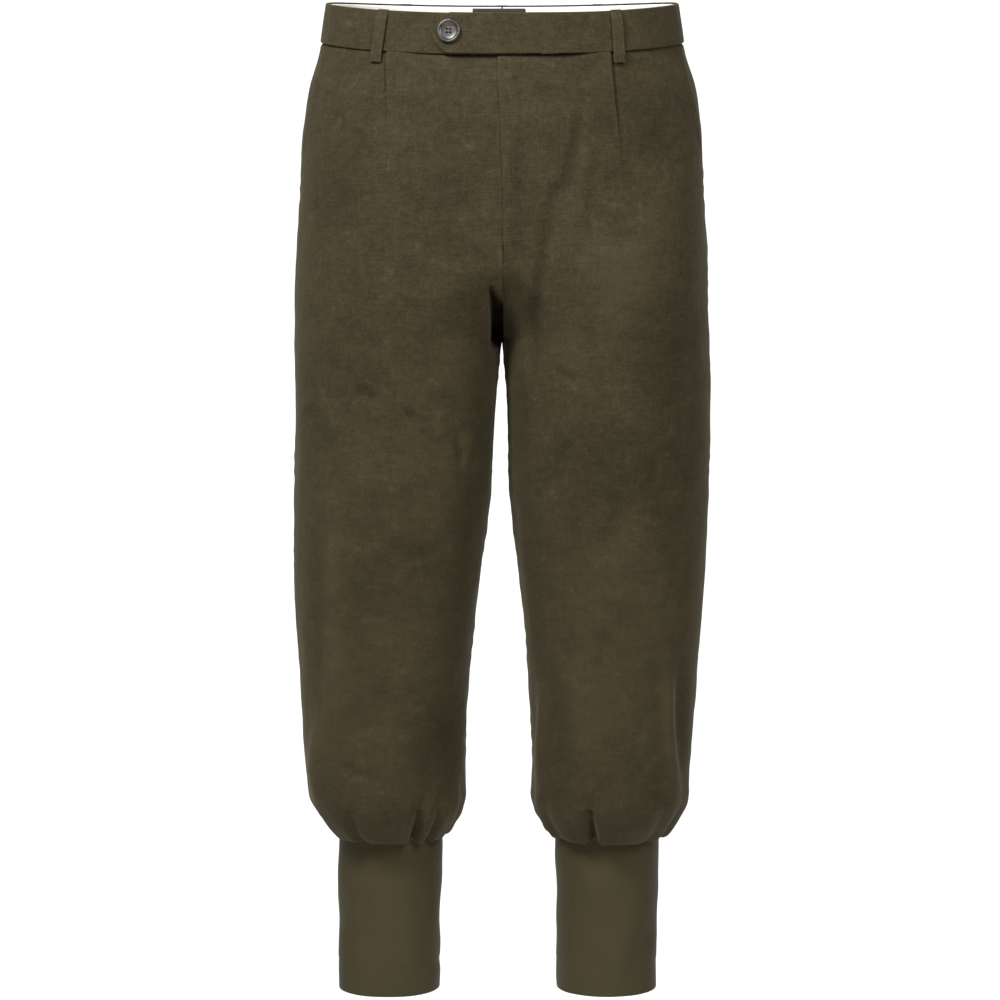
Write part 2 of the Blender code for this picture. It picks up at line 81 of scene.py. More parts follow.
# One row for each section of the cloth, in millimetres and degrees, from the top down, round the
# bloused hem and up to the cuff seam. They are the solids' sections, but with a rounder inner
# thigh from 248 to 400 mm down.
Section = namedtuple(
    "Section", "z outer inner flat front back middle front_open back_open corner turn sway"
)
PANEL_SECTIONS = [
    Section(15, 153, 0, 0, 109, 111, -2, 90, 90, 3.4, 24, 1.0),
    Section(-40, 161.4, 0, 10, 115, 118, -2, 88, 88, 3.4, 25, 1.0),
    Section(-75, 171, 0, 24, 119, 126, -2, 87, 87, 3.4, 27, 1.2),
    Section(-120, 177.5, 0, 44, 121, 134, -2, 86, 84, 3.4, 20, 1.5),
    Section(-170, 180, 0, 64, 120, 138, -1, 85, 79, 3.4, 9, 2),
    Section(-220, 182.5, 0, 79, 117, 137, 0, 80, 69, 3.4, 3, 2),
    Section(-248, 183.5, 0, 85, 115, 133, 0, 62, 55, 2.8, 1, 1.5),
    Section(-272, 184, 0, 89, 113, 128, 0, 43, 38, 2.25, 0, 1),
    Section(-293, 184.3, 0, 92, 111, 122, 0, 21, 18, 2.2, 0, 1),
    Section(-306, 184.5, 0.3, 92.4, 110, 118, 0, 0, 0, 2.35, 0, 0.6),
    Section(-350, 185, 3.8, 94.4, 108, 110, 0, 0, 0, 2.6, 0, 0.3),
    Section(-400, 186, 7, 96.5, 106, 104, 0, 0, 0, 2.7, 0, -0.3),
    Section(-455, 185.8, 12, 98.9, 103, 99, 0, 0, 0, 2.7, 0, -0.8),
    Section(-510, 184, 17.8, 100.9, 100, 96, 0, 0, 0, 2.5, 0, -1.4),
    Section(-565, 181.8, 23.3, 102.5, 97, 94, 0, 0, 0, 2.4, 0, -1.8),
    Section(-620, 178, 27.6, 102.8, 93, 91, 0, 0, 0, 2.3, 0, -2.3),
    Section(-670, 173.2, 29.6, 101.4, 89, 88, 0, 0, 0, 2.2, 0, -2.7),
    Section(-700, 170, 31, 100.5, 86, 86, 1, 0, 0, 2.2, 0, -2.8),
    Section(-713, 168, 31.6, 99.8, 84, 84, 2, 0, 0, 2.2, 0, -2.8),
    Section(-725, 162, 35.5, 98.8, 78.5, 80, 3, 0, 0, 2.1, 0, -2.7),
    Section(-735, 156, 41.5, 98.8, 70.5, 74, 4, 0, 0, 2.1, 0, -2.6),
    Section(-742, 150.5, 46, 98.3, 61, 67, 4, 0, 0, 2.1, 0, -2.5),
    Section(-744, 147.6, 48.2, 97.9, 53.5, 62, 4, 0, 0, 2.1, 0, -2.5),
    Section(-737, 146.1, 49.6, 97.9, 49.2, 58.5, 4, 0, 0, 2.1, 0, -2.5),
    Section(-722, 145.9, 49.8, 97.9, 48.7, 57.9, 4, 0, 0, 2.1, 0, -2.5),
]
CUFF_SECTIONS = [
    Section(-715, 145.1, 50.6, 97.9, 47.8, 57.0, 4, 0, 0, 2.1, 0, -2.5),
    Section(-760, 145.0, 50.8, 97.9, 47.4, 56.8, 4, 0, 0, 2.1, 0, -2.5),
    Section(-800, 144.8, 51.8, 98.3, 46.5, 56.0, 4, 0, 0, 2.1, 0, -2.5),
    Section(-842, 144.5, 52.6, 98.6, 45.5, 54.0, 4, 0, 0, 2.1, 0, -2.5),
    Section(-885, 144.4, 53.0, 98.7, 44.5, 52.0, 4, 0, 0, 2.1, 0, -2.5),
]

# The folds that the gathered hem is drawn into: where on the ring, how deep in millimetres, how
# wide in degrees, how far up the leg it runs in millimetres and how many degrees it leans.
Gather = namedtuple("Gather", "angle depth width reach lean")
GATHERS = {
    "left": [
        Gather(14, 4, 6, 40, 6),
        Gather(42, 2, 6, 30, -4),
        Gather(77, 10, 3.0, 30, 3),
        Gather(124, 2.5, 3.5, 16, -6),
        Gather(147, 4, 6, 60, -9),
        Gather(172, 4, 6, 60, 4),
        Gather(203, 6, 5, 45, 6),
        Gather(232, 9, 4, 50, -5),
        Gather(279, 11, 4, 45, 5),
        Gather(309, 4, 6, 40, 5),
        Gather(338, 6, 6, 45, -5),
    ],
    "right": [
        Gather(20, 4, 6, 50, 6),
        Gather(54, 6, 2.8, 26, -2),
        Gather(69, 9, 2.6, 28, -7),
        Gather(111, 3.5, 3, 10, 5),
        Gather(160, 3, 7, 90, -8),
        Gather(186, 4, 6, 50, 5),
        Gather(214, 9, 4, 50, -6),
        Gather(243, 4, 5, 40, 5),
        Gather(268, 11, 4, 50, -4),
        Gather(296, 3, 6, 40, 6),
        Gather(324, 7, 5, 50, 5),
    ],
}

# The front pleats: the fold's place at the waist seam in millimetres, how far it runs outwards
# for each metre down, how far down it shows and how proud it stands.
Pleat = namedtuple("Pleat", "x drift length proud")
PLEATS = {
    "left": Pleat(91.5, 0.09, 135, 3.4),
    "right": Pleat(98.5, 0.0, 105, 3.0),
}

# Creases laid on each panel, from one end to the other in X and Z, in millimetres. bow is how far
# the middle bends off the straight line, width and height
# the size of the swelling (a trough where it is negative), and lean makes the side towards the
# wearer's left steeper, or the other side where it is negative.
Crease = namedtuple("Crease", "x0 z0 x1 z1 bow width height lean")
CREASES = {
    "front_left": [
        # The long drape from the left pleat to the crotch, and the cloth's swelling over the thigh.
        Crease(70, -92, 47, -190, 5, 6, -2.2, 1.8),
        Crease(50, -160, 27, -340, -3, 6, -2.6, 2.2),
        Crease(76, -110, 54, -235, 4, 9, 1.9, -0.8),
        Crease(82, -205, 130, -290, 6, 34, 3.3, 0),
        Crease(60, -372, 36, -430, 5, 10, -2.2, 1.2),
        Crease(36, -300, 80, -345, 6, 9, 1.2, 0),
        Crease(38, -318, 76, -330, -4, 4, -2.2, 0.6),
        Crease(134, -395, 128, -430, 3, 4, -1.7, 0.7),
        Crease(92, -545, 79, -590, 3, 6, -1.7, 0.6),
        Crease(75, -470, 120, -520, 8, 26, 1.6, 0),
        Crease(130, -615, 118, -655, -3, 5, -1.3, 0.4),
        Crease(138, -650, 104, -690, 4, 6, -1.6, 0.5),
        Crease(112, -640, 118, -668, 2, 3.5, -1, 0),
        Crease(60, -560, 75, -690, 4, 20, 1.6, 0),
        Crease(144, -560, 156, -722, -5, 7, 4.4, 2.6),
        Crease(158, -565, 166, -712, -4, 8, -4.4, 0),
        Crease(40, -585, 29, -705, 3, 5, 3.4, -2.0),
        Crease(54, -590, 50, -690, 2, 9, -1.8, 0),
        Crease(110, -120, 158, -165, 6, 22, -0.9, 0),
        Crease(15, -120, 17, -208, 0, 8, -1.5, -0.5),
        Crease(3, -215, 34, -236, 3, 5, -1.7, 0.4),
        Crease(3, -232, 40, -268, 3, 6, 1.3, 0),
        Crease(5, -245, 30, -292, 3, 5, -0.9, 0),
    ],
    "front_right": [
        # The right leg hangs from hip to knee in broad, slanting folds.
        Crease(-16, -160, -13, -240, 1, 6, 1.5, 0.8),
        Crease(-34, -215, -4, -240, 2, 6, -1.3, 0),
        Crease(-150, -120, -95, -330, 14, 30, -1.2, 0),
        Crease(-95, -160, -60, -300, -6, 28, 1.8, 0),
        Crease(-146, -104, -134, -124, 2, 5, -1.9, 0.4),
        Crease(-142, -338, -132, -368, 2, 4, -2.8, 0.9),
        Crease(-133, -345, -104, -352, 6, 5, -2.8, 0.8),
        Crease(-118, -350, -105, -372, 3, 5, 2, 0.4),
        Crease(-84, -352, -58, -366, -7, 4, -2.8, 0.9),
        Crease(-58, -356, -54, -386, 3, 5, 1.9, 0.6),
        Crease(-78, -366, -66, -372, 2, 4, 1.7, 0),
        Crease(-40, -376, -36, -412, 3, 3, -2, 1.0),
        Crease(-33, -372, -28, -418, 3, 6, 1.7, 0),
        Crease(-172, -350, -146, -400, 4, 9, -1.6, 0.8),
        Crease(-164, -346, -140, -384, 4, 6, 1.7, 0),
        Crease(-140, -320, -60, -410, -10, 24, -1.2, 0),
        Crease(-146, -400, -144, -690, 3, 9, 2.4, -1.2),
        Crease(-145, -610, -166, -716, -4, 8, 3.6, -2.0),
        Crease(-161, -430, -162, -640, 3, 8, -1.2, 0),
        Crease(-68, -600, -66, -700, 3, 12, -1.6, 0),
        Crease(-104, -600, -98, -715, 2, 16, 1.6, 0),
        Crease(-126, -632, -100, -633, 1, 4, -1.4, 0.3),
        Crease(-128, -636, -122, -668, 2, 4, 1.2, 0),
        Crease(-136, -664, -118, -680, -2, 5, -2.3, 0.6),
        Crease(-122, -676, -104, -684, 2, 4, -1.4, 0.3),
        Crease(-38, -600, -32, -715, 3, 6, 3.4, 1.8),
        Crease(-50, -610, -46, -700, 2, 7, -2.0, 0),
    ],
    "back_left": [
        # Behind, the seat's fullness falls in slanting folds, and the knees have left creases.
        Crease(20, -235, 95, -315, -8, 14, -3.4, 1.2),
        Crease(15, -262, 70, -350, -6, 12, 2.8, 0),
        Crease(50, -225, 140, -285, -8, 16, 2.4, 0),
        Crease(50, -480, 140, -455, 8, 9, -3.0, 1.2),
        Crease(45, -500, 120, -512, 6, 10, 2.4, 0),
        Crease(62, -530, 145, -498, 7, 10, -2.8, 1.0),
        Crease(90, -560, 80, -700, 5, 16, 2.4, 0),
        Crease(120, -330, 130, -450, 4, 20, -2.0, 0),
        Crease(60, -590, 56, -705, 3, 10, -2.6, 0),
        Crease(132, -580, 140, -705, 3, 11, -2.4, 0),
        Crease(105, -400, 70, -440, 4, 6, -1.4, 0.6),
        Crease(60, -130, 110, -190, 6, 20, 2.2, 0),
    ],
    "back_right": [
        Crease(-20, -240, -90, -325, 8, 14, -3.3, -1.2),
        Crease(-14, -268, -74, -356, 6, 12, 2.8, 0),
        Crease(-52, -230, -145, -296, 8, 17, 2.3, 0),
        Crease(-48, -470, -138, -462, -7, 9, -2.9, 1.2),
        Crease(-44, -494, -124, -505, -6, 10, 2.4, 0),
        Crease(-60, -522, -140, -508, -6, 10, -2.6, 0.9),
        Crease(-86, -550, -92, -700, 5, 16, 2.4, 0),
        Crease(-124, -340, -128, -450, 4, 20, -2.2, 0),
        Crease(-56, -600, -60, -705, 3, 10, -2.5, 0),
        Crease(-130, -570, -138, -705, 3, 11, -2.5, 0),
        Crease(-98, -395, -76, -430, -4, 6, -1.3, 0.6),
        Crease(-66, -125, -112, -200, -6, 20, 2.1, 0),
    ],
}

# Soft creases in the cuffs: the ends in X and Z, the width and the height, in millimetres.
CuffCrease = namedtuple("CuffCrease", "x0 z0 x1 z1 width height")
CUFF_CREASES = {
    "left": [
        CuffCrease(128, -800, 96, -872, 8, 1.9),
        CuffCrease(118, -775, 78, -845, 9, -1.6),
        CuffCrease(140, -815, 112, -880, 7, -1.8),
        CuffCrease(72, -750, 84, -800, 8, 1.2),
        CuffCrease(98, -765, 70, -800, 6, 1.1),
    ],
    "right": [
        CuffCrease(-70, -842, -58, -872, 8, -2.2),
        CuffCrease(-134, -760, -128, -860, 7, 1.4),
        CuffCrease(-112, -765, -104, -850, 12, 1.6),
        CuffCrease(-78, -770, -70, -835, 9, -1.6),
        CuffCrease(-90, -800, -66, -825, 6, 1.0),
    ],
}

# Belt loops: the turn round the waist at the top of the band and at the loop's lower end.
Loop = namedtuple("Loop", "name top bottom")
LOOPS = [
    Loop("belt_loop_front_right", -30.3, -31),
    Loop("belt_loop_front_left", 28.4, 27.8),
    Loop("belt_loop_back_right", -156, -156),
    Loop("belt_loop_back_left", 156, 156),
    Loop("belt_loop_back_centre", 180, 180),
]


# --- Sizes and colours ---------------------------------------------------------------------------


def length(name, description, default):
    return bpy.props.FloatProperty(
        name=name,
        description=description,
        default=default,
        min=0.0,
        precision=4,
        unit="LENGTH",
        subtype="DISTANCE",
    )


def colour(name, description, default):
    return bpy.props.FloatVectorProperty(
        name=name, description=description, default=default, size=3, min=0, max=1, subtype="COLOR"
    )


class BreechesPanels(bpy.types.PropertyGroup):
    """Sizes of the four leg panels."""

    cloth: length("Cloth", "Thickness of the moleskin", 1.5 * MM)
    cell: length("Cell", "Length of cloth between two rows of points", 2.4 * MM)
    seam_roll: length("Seam roll", "How far an edge turns in at its seam", 1.5 * MM)
    seam_pucker: length("Seam pucker", "Height of the ripples beside a seam", 0.5 * MM)
    fly_lift: length("Fly lift", "How far the left front lies over the right at the fly", 2.3 * MM)
    fly_bottom: length("Fly depth", "From the waist down to the end of the fly", 213 * MM)
    unevenness: length("Unevenness", "Height of the cloth's broad, soft waves", 0.9 * MM)
    tint: colour("Colour", "Colour of the brushed moleskin", (0.0385, 0.0306, 0.0150))


class BreechesWaist(bpy.types.PropertyGroup):
    """Sizes of the waistband, its tab, lining, label and loops."""

    height: length("Height", "Height of the waistband", BAND_HEIGHT)
    cloth: length("Cloth", "Thickness of the band", 1.8 * MM)
    proud: length("Proud", "How far the band stands off the line of the panels", 0.8 * MM)
    tab_lift: length("Tab lift", "How far the tab lies over the right band", 3.3 * MM)
    lining: length("Lining", "Thickness of the lining", 0.8 * MM)
    loop_width: length("Loop width", "Width of a belt loop", 10.5 * MM)
    loop_drop: length("Loop drop", "How far a loop runs below the waist seam", 10 * MM)
    loop_stand: length("Loop stand", "How far a loop stands off the band", 2.2 * MM)
    lining_tint: colour("Lining", "Colour of the cotton lining", (0.95, 0.94, 0.88))
    label_tint: colour("Label", "Colour of the plain label", (0.018, 0.017, 0.016))


class BreechesCuffs(bpy.types.PropertyGroup):
    """Sizes of the stretch cuffs."""

    cloth: length("Cloth", "Thickness of the stretch knit", 1.2 * MM)
    cell: length("Cell", "Length of cloth between two rows of points", 2.2 * MM)
    tint: colour("Colour", "Colour of the stretch knit", (0.0545, 0.0460, 0.0222))


class BreechesButton(bpy.types.PropertyGroup):
    """Sizes of the tab's button, buttonhole and thread."""

    radius: length("Radius", "Radius of the button", 10.2 * MM)
    hole: length("Hole", "Radius of a thread hole", 0.95 * MM)
    from_middle: length("From the middle", "The button's place along the tab", 44.8 * MM)
    drop: length("Drop", "From the top of the band down to the button's middle", 16.5 * MM)
    tint: colour("Colour", "Colour of the horn", (0.017, 0.017, 0.021))


class BreechesStitches(bpy.types.PropertyGroup):
    """Sizes of the sewing thread and its stitches."""

    thread: length("Thread", "Thickness of the thread", 0.42 * MM)
    stitch: length("Stitch", "Length of one stitch", 2.1 * MM)
    space: length("Space", "From one stitch to the next", 2.9 * MM)
    tint: colour("Colour", "Colour of the thread", (0.044, 0.036, 0.019))


class BreechesSettings(bpy.types.PropertyGroup):
    """Every size and colour of the breeches."""

    panels: bpy.props.PointerProperty(name="Panels", type=BreechesPanels)
    waist: bpy.props.PointerProperty(name="Waist", type=BreechesWaist)
    cuffs: bpy.props.PointerProperty(name="Cuffs", type=BreechesCuffs)
    button: bpy.props.PointerProperty(name="Button", type=BreechesButton)
    stitches: bpy.props.PointerProperty(name="Stitches", type=BreechesStitches)


# --- The cloth's surface -------------------------------------------------------------------------


def smooth(value):
    """0 below 0, 1 above 1, and an even S between."""
    value = np.clip(value, 0.0, 1.0)
    return value * value * (3 - 2 * value)


def mix(a, b, share):
    return a + (b - a) * share


def bell(off, width):
    """1 in the middle, falling away evenly on both sides."""
    return np.exp(-((off / width) ** 2))


def blended(rows, level):
    """The sections at an array of levels, on a smooth curve through the rows of a table."""
    table = np.array(rows, float)
    last = len(rows) - 1
    level = np.asarray(level, float)
    at = np.clip(np.floor(level).astype(int), 0, last - 1)
    t = (level - at)[..., None]
    p0, p1, p2, p3 = (table[np.clip(at + step, 0, last)] for step in (-1, 0, 1, 2))
    bend = 2 * p0 - 5 * p1 + 4 * p2 - p3
    twist = 3 * p1 - p0 - 3 * p2 + p3
    values = p1 + 0.5 * t * (p2 - p0 + t * (bend + t * twist))
    section = Section(*np.moveaxis(values, -1, 0))
    return section._replace(
        front_open=np.maximum(0, section.front_open), back_open=np.maximum(0, section.back_open)
    )


def level_at(z):
    """The level of the panel table at heights above the hem."""
    z = np.asarray(z, float)
    low, high = np.zeros_like(z), np.full_like(z, HEM_START)
    for _ in range(26):
        middle = (low + high) / 2
        below = blended(PANEL_SECTIONS, middle).z * MM > z
        low, high = np.where(below, middle, low), np.where(below, high, middle)
    return (low + high) / 2


def ring(section, angle):
    """Places on rings before they are drawn out."""
    a = np.radians(angle)
    half_width = (section.outer - section.inner) / 2
    depth = np.where(
        np.sin(a) >= 0, section.front + section.middle, section.back - section.middle
    )
    power = np.where(np.cos(a) > 0, section.corner, OUTER_POWER)
    sides = np.abs(np.cos(a) / half_width) ** power + np.abs(np.sin(a) / depth) ** power
    reach = sides ** (-1 / power)
    x = (section.outer + section.inner) / 2 - reach * np.cos(a)
    y = section.middle - reach * np.sin(a)
    return x * MM, y * MM


def drawn_out(section, angle):
    """Places on rings once they are opened and their ends are drawn out to the middle."""
    x, y = ring(section, angle)
    outer, inner, flat = section.outer * MM, section.inner * MM, section.flat * MM
    centre = (outer + inner) / 2
    opened = np.where(angle <= 180, section.front_open, 360 - section.back_open)
    first = np.where(section.front_open < 89.99, ring(section, opened)[0], centre - 1)
    far = flat + (outer - flat) * (x - centre) / (outer - centre)
    near = flat - (flat - inner) * (centre - x) / (centre - first)
    return np.where(x >= centre, far, near), y


def cloth(level, angle):
    """Points of the left leg's cloth, before its pleat, fly, gathers and creases."""
    section = blended(PANEL_SECTIONS, level)
    x, y = drawn_out(section, angle)
    share = y / WAIST_HALF_DEPTH
    slope = WAIST_TILT * share - WAIST_DIP * share * share
    z = section.z * MM
    return np.stack([x, y, z + slope * smooth(1 + (z + 40 * MM) / (90 * MM))], -1)


def unit(v):
    return v / np.maximum(np.linalg.norm(v, axis=-1, keepdims=True), 1e-12)


def outward(level, angle):
    """Directions out of the left leg's cloth."""
    along = cloth(level, angle + 0.5) - cloth(level, angle - 0.5)
    down = cloth(level + 0.04, angle) - cloth(level - 0.04, angle)
    return unit(np.cross(down, along))


def angle_where(level, x):
    """The angles, from the front's edge to the outer leg, where rows reach x."""
    section = blended(PANEL_SECTIONS, level)
    low = np.minimum(90.0, section.front_open) + 0 * x
    high = np.full_like(low, 180.0)
    for _ in range(26):
        middle = (low + high) / 2
        short = drawn_out(section, middle)[0] < x
        low, high = np.where(short, middle, low), np.where(short, high, middle)
    return (low + high) / 2


def waves(points, size, height, seed):
    """Smooth, uneven waves of about one size, the same on each run."""
    chance = np.random.default_rng(seed)
    total = np.zeros(points.shape[:-1])
    count = 22
    for _ in range(count):
        way = chance.normal(size=3)
        way /= np.linalg.norm(way)
        pace = math.tau / (size * chance.uniform(0.7, 1.5))
        total += np.sin(points @ way * pace + chance.uniform(0, math.tau))
    return total * height / math.sqrt(count / 2)


def creased(panel, points, facing):
    """How far a panel's creases lift or sink its points."""
    total = np.zeros(points.shape[:-1])
    x, z = points[..., 0] / MM, points[..., 2] / MM
    for row in CREASES[panel]:
        span = np.array([row.x1 - row.x0, row.z1 - row.z0], float)
        size = np.linalg.norm(span)
        ux, uz = span / size
        t = ((x - row.x0) * ux + (z - row.z0) * uz) / size
        middle = 4 * np.clip(t, 0, 1) * (1 - np.clip(t, 0, 1))
        off = (x - row.x0) * -uz + (z - row.z0) * ux - row.bow * middle
        # Off the line counts towards the wearer's left, whichever way the row runs.
        off *= -1 if uz > 0 else 1
        d = off / row.width
        fade = smooth(t / 0.35) * smooth((1 - t) / 0.35)
        body = np.exp(-d * d) * (row.height + row.lean * d * 1.6)
        total += body * fade
    return total * MM * smooth(facing * 2.2)


def settings():
    return bpy.context.scene.breeches


# --- Meshes --------------------------------------------------------------------------------------


def mesh_of(name, bm):
    """The mesh of a finished bmesh."""
    mesh = bpy.data.meshes.new(name)
    bm.to_mesh(mesh)
    bm.free()
    return mesh


def in_scene(name, mesh):
    piece = bpy.data.objects.new(name, mesh)
    bpy.context.scene.collection.objects.link(piece)
    return piece


def made_real(piece):
    """Turns a piece's modifiers into a plain mesh of its own."""
    bpy.context.view_layer.update()
    piece_now = piece.evaluated_get(bpy.context.evaluated_depsgraph_get())
    mesh = bpy.data.meshes.new_from_object(piece_now)
    piece.modifiers.clear()
    piece.data = mesh


def shell(name, outer, inner, material, relief=None, closed=False):
    """A closed wall between two grids of points. relief is each place's colour weight: paler for
    rubbed ridges and edges, darker with painted shade in troughs, grooves and hollows.
    """
    rows, count = outer.shape[:2]
    half = rows * count
    points = np.concatenate([outer.reshape(-1, 3), inner.reshape(-1, 3)])
    index = np.arange(half).reshape(rows, count)
    if closed:
        index = np.concatenate([index, index[:, :1]], axis=1)
    quads = np.stack(
        [index[:-1, :-1], index[1:, :-1], index[1:, 1:], index[:-1, 1:]], -1
    ).reshape(-1, 4)
    edges = [index[0], index[-1][::-1]]
    if not closed:
        edges += [index[::-1, 0], index[:, -1]]
    rims = [np.stack([e[:-1], e[1:], e[1:] + half, e[:-1] + half], -1) for e in edges]
    faces = np.concatenate([quads, quads[:, ::-1] + half] + rims)
    mesh = bpy.data.meshes.new(name)
    mesh.from_pydata(points, [], faces)
    mesh.shade_smooth()
    bm = bmesh.new()
    bm.from_mesh(mesh)
    bmesh.ops.recalc_face_normals(bm, faces=bm.faces)
    bm.to_mesh(mesh)
    bm.free()
    if relief is not None:
        layer = mesh.attributes.new("relief", "FLOAT", "POINT")
        layer.data.foreach_set("value", np.concatenate([relief.ravel()] * 2).astype(np.float32))
    mesh.materials.append(material)
    return in_scene(name, mesh)


def along_rows(points):
    """How far each point is along its row from the first point."""
    steps = np.linalg.norm(np.diff(points, axis=1), axis=-1)
    return np.concatenate([np.zeros((len(points), 1)), np.cumsum(steps, axis=1)], axis=1)


def row_levels(cell):
    """Levels for the panels' rows, closer together where a section is longer."""
    levels = []
    top = float(level_at(-31.5 * MM))
    knots = [top, 1.0] + list(range(2, len(PANEL_SECTIONS)))
    for low, high in zip(knots, knots[1:]):
        ends = cloth(np.array([low, high]), np.array([90.0, 90.0]))
        count = max(3, round(float(np.linalg.norm(ends[1] - ends[0])) / cell))
        if high > HEM_START:
            count = max(count, 8)
        levels += list(np.linspace(low, high, count, endpoint=False))
    return np.array(levels + [len(PANEL_SECTIONS) - 1.0])


# The pleat's lip in section: how far past the fold in millimetres, and the share of its height.
LIP = [(-1.6, 1.0), (-0.5, 0.98), (0.25, 0.84), (0.5, 0.6), (0.3, 0.36), (-0.4, 0.16), (0.6, 0.03)]


def fly_share(z):
    return smooth((z + settings().panels.fly_bottom + 3 * MM) / (3 * MM))


def front_grid(side, levels):
    """The angles of a front's points, the pleat's shares, how far the pleat shows in each row and
    where its fold lies.
    """
    pleat = PLEATS[side]
    section = blended(PANEL_SECTIONS, levels)
    z = section.z * MM
    below = np.maximum(0.0, -BAND_HEIGHT - z)
    length_of = pleat.length * MM
    fold_x = pleat.x * MM + pleat.drift * np.minimum(below, length_of)
    spread = 12 * MM * smooth((below - 0.12) / 0.15)
    start, end = section.front_open, 180 - section.turn
    first = angle_where(levels, fold_x - 1.6 * MM - spread / 2)
    after = angle_where(levels, fold_x + 0.9 * MM + spread / 2)
    fade = smooth(1 - (below - 4 * MM) / length_of)
    columns, shares = [], []
    for t in np.linspace(0, 1, 62)[:-1]:
        # Closer together beside the edge.
        t = t - 0.35 * math.sin(math.tau * t) / math.tau
        columns.append(mix(start, first, t))
        shares.append(np.ones_like(levels))
    for i, (past, share) in enumerate(LIP):
        even = mix(fold_x - spread / 2, fold_x + spread / 2, i / (len(LIP) - 1))
        folded = fold_x + past * MM
        columns.append(angle_where(levels, mix(even, folded, smooth(fade * 3))))
        shares.append(np.full_like(levels, share))
    for t in np.linspace(0, 1, 46):
        t = t + 0.35 * math.sin(math.tau * t) / math.tau * 0.6
        columns.append(mix(after, end, t))
        shares.append(np.zeros_like(levels))
    return np.stack(columns, 1), np.stack(shares, 1), fade, fold_x


def front_lift(side, x, z, upper, share, fade, before):
    """How far a front stands out for its pleat and for its lapped fly edge. before is how far
    a place is from the pleat's fold, on the side of the middle."""
    own = settings().panels
    pleated = PLEATS[side].proud * MM * fade * smooth(1 - before / PLEAT_EASE) * share
    lift = np.where(upper, pleated, 0)
    if side == "left":
        sunk = smooth((z + own.fly_bottom + 19 * MM) / (16 * MM))
        lift += own.fly_lift * sunk * smooth(1 - (x - FLY_UNDERLAP) / (45 * MM))
        # The pressed edge of the fly facing shows through as a faint step.
        facing = smooth((z + own.fly_bottom + 4 * MM) / (10 * MM))
        lift -= 0.35 * MM * facing * smooth((x - 11.5 * MM) / (2.5 * MM))
    return lift


def gathered(side, grid, z, angle):
    """How far the gathers draw the bloused hem in, and how far it swells out."""
    up = np.maximum(0.0, z - HEM_TOP) / MM
    rise = smooth((grid - HEM_START + 1.0) / (HEM_DEEPEST - HEM_START))
    settled = smooth((HEM_SETTLED - grid) / 1.6)
    drawn = np.zeros_like(angle)
    for fold in GATHERS[side]:
        spread = np.clip(up / fold.reach, 0, 1)
        centre = fold.angle + fold.lean * spread
        off = (angle - centre + 180) % 360 - 180
        d = np.abs(off / (fold.width * (1 + 0.8 * spread)))
        lips = 0.22 * bell(d - 2.2, 1.1)
        valley = 0.7 * np.exp(-(d**1.3)) + 0.3 * bell(d, 2.6) - lips
        reach = 0.5 * smooth(1 - up / fold.reach) ** 1.2
        share = np.where(up > 0, reach, mix(0.5, 1.0, rise))
        drawn += fold.depth * MM * valley * share * settled
    return drawn, 2.2 * MM * smooth((grid - HEM_START + 2) / 3) * settled


def seam_edges(side, part, placed, z, upper, from_start, from_end):
    """How far a panel's edges turn in at their seams, and the ripples of the cloth there."""
    own = settings().panels
    if part == "front":
        sewn_share = 1 - fly_share(z)
        seams = [(from_end, 1.0), (from_start, sewn_share * mix(1.0, 0.3, upper))]
    else:
        seams = [(from_start, 1.0), (from_end, 1.0)]
    ripple = np.sin(placed[..., 2] / (3.4 * MM) + 2.4 * np.sin(placed[..., 2] / (13 * MM)))
    seam, pucker = np.zeros_like(from_start), np.zeros_like(from_start)
    for away, strength in seams:
        seam += own.seam_roll * bell(away, 1.3 * MM) * strength
        pucker += own.seam_pucker * ripple * np.exp(-away / (6 * MM)) * strength
    if part == "front":
        if side == "left":
            seam += 0.9 * MM * bell(from_start, 0.9 * MM) * fly_share(z)
        # The front's edge at the pocket mouth lies a little over the back's.
        mouth = smooth((z + 150 * MM) / (25 * MM))
        seam -= 1.1 * MM * bell(from_end, 6 * MM) * mouth
    return seam, pucker


def crotch_hollow(x, z):
    """Where the fronts turn in between the legs, below the fly. x is across the body."""
    top = -250 * MM - 1.1 * np.clip(x + 10 * MM, 0, 12 * MM)
    hollow = smooth((top - z) / (7 * MM)) * smooth((z + 305 * MM) / (9 * MM))
    return hollow * smooth((x + 11 * MM) / (3 * MM)) * smooth((3.2 * MM - x) / (2.4 * MM))


def front_shades(rubbed_and_painted_shade, side, x, z, upper, fade, fold_x, from_start, placed, hollow):
    """Adds to a front's colour weight its pale rubbed edges, and painted shade in the valley under
    the pleat's fold, in the dip beside the fly and in the crotch hollow.
    """
    over = x - fold_x
    # The pleat's fold is rubbed paler; the valley just past it is darkened with painted shade.
    fold, under = bell(over + 0.9 * MM, 0.9 * MM), bell(over - 1.0 * MM, 0.9 * MM)
    rubbed_and_painted_shade = rubbed_and_painted_shade + (fold * 1.8 - under * 2.6) * fade * (z < -34 * MM) * upper
    if side == "left":
        rubbed = bell(from_start - 1.0 * MM, 0.9 * MM)
        # Beside the fly a dip is darkened with painted shade.
        fly_dip_painted_shade = np.exp(-(((x - 11 * MM) / (5 * MM)) ** 4)) * smooth((-z - 90 * MM) / (30 * MM))
        rubbed_and_painted_shade = rubbed_and_painted_shade + (rubbed * 2.0 - fly_dip_painted_shade * 0.9) * fly_share(z) * upper
    line = bell(placed[..., 0] + 1 * MM, 1.6 * MM) * smooth((-z - 214 * MM) / (4 * MM))
    # The crotch seam's line is paler, and the crotch hollow is darkened with painted shade.
    return rubbed_and_painted_shade + (line * 2.6 * smooth((z + 256 * MM) / (8 * MM)) - 9 * hollow) * upper


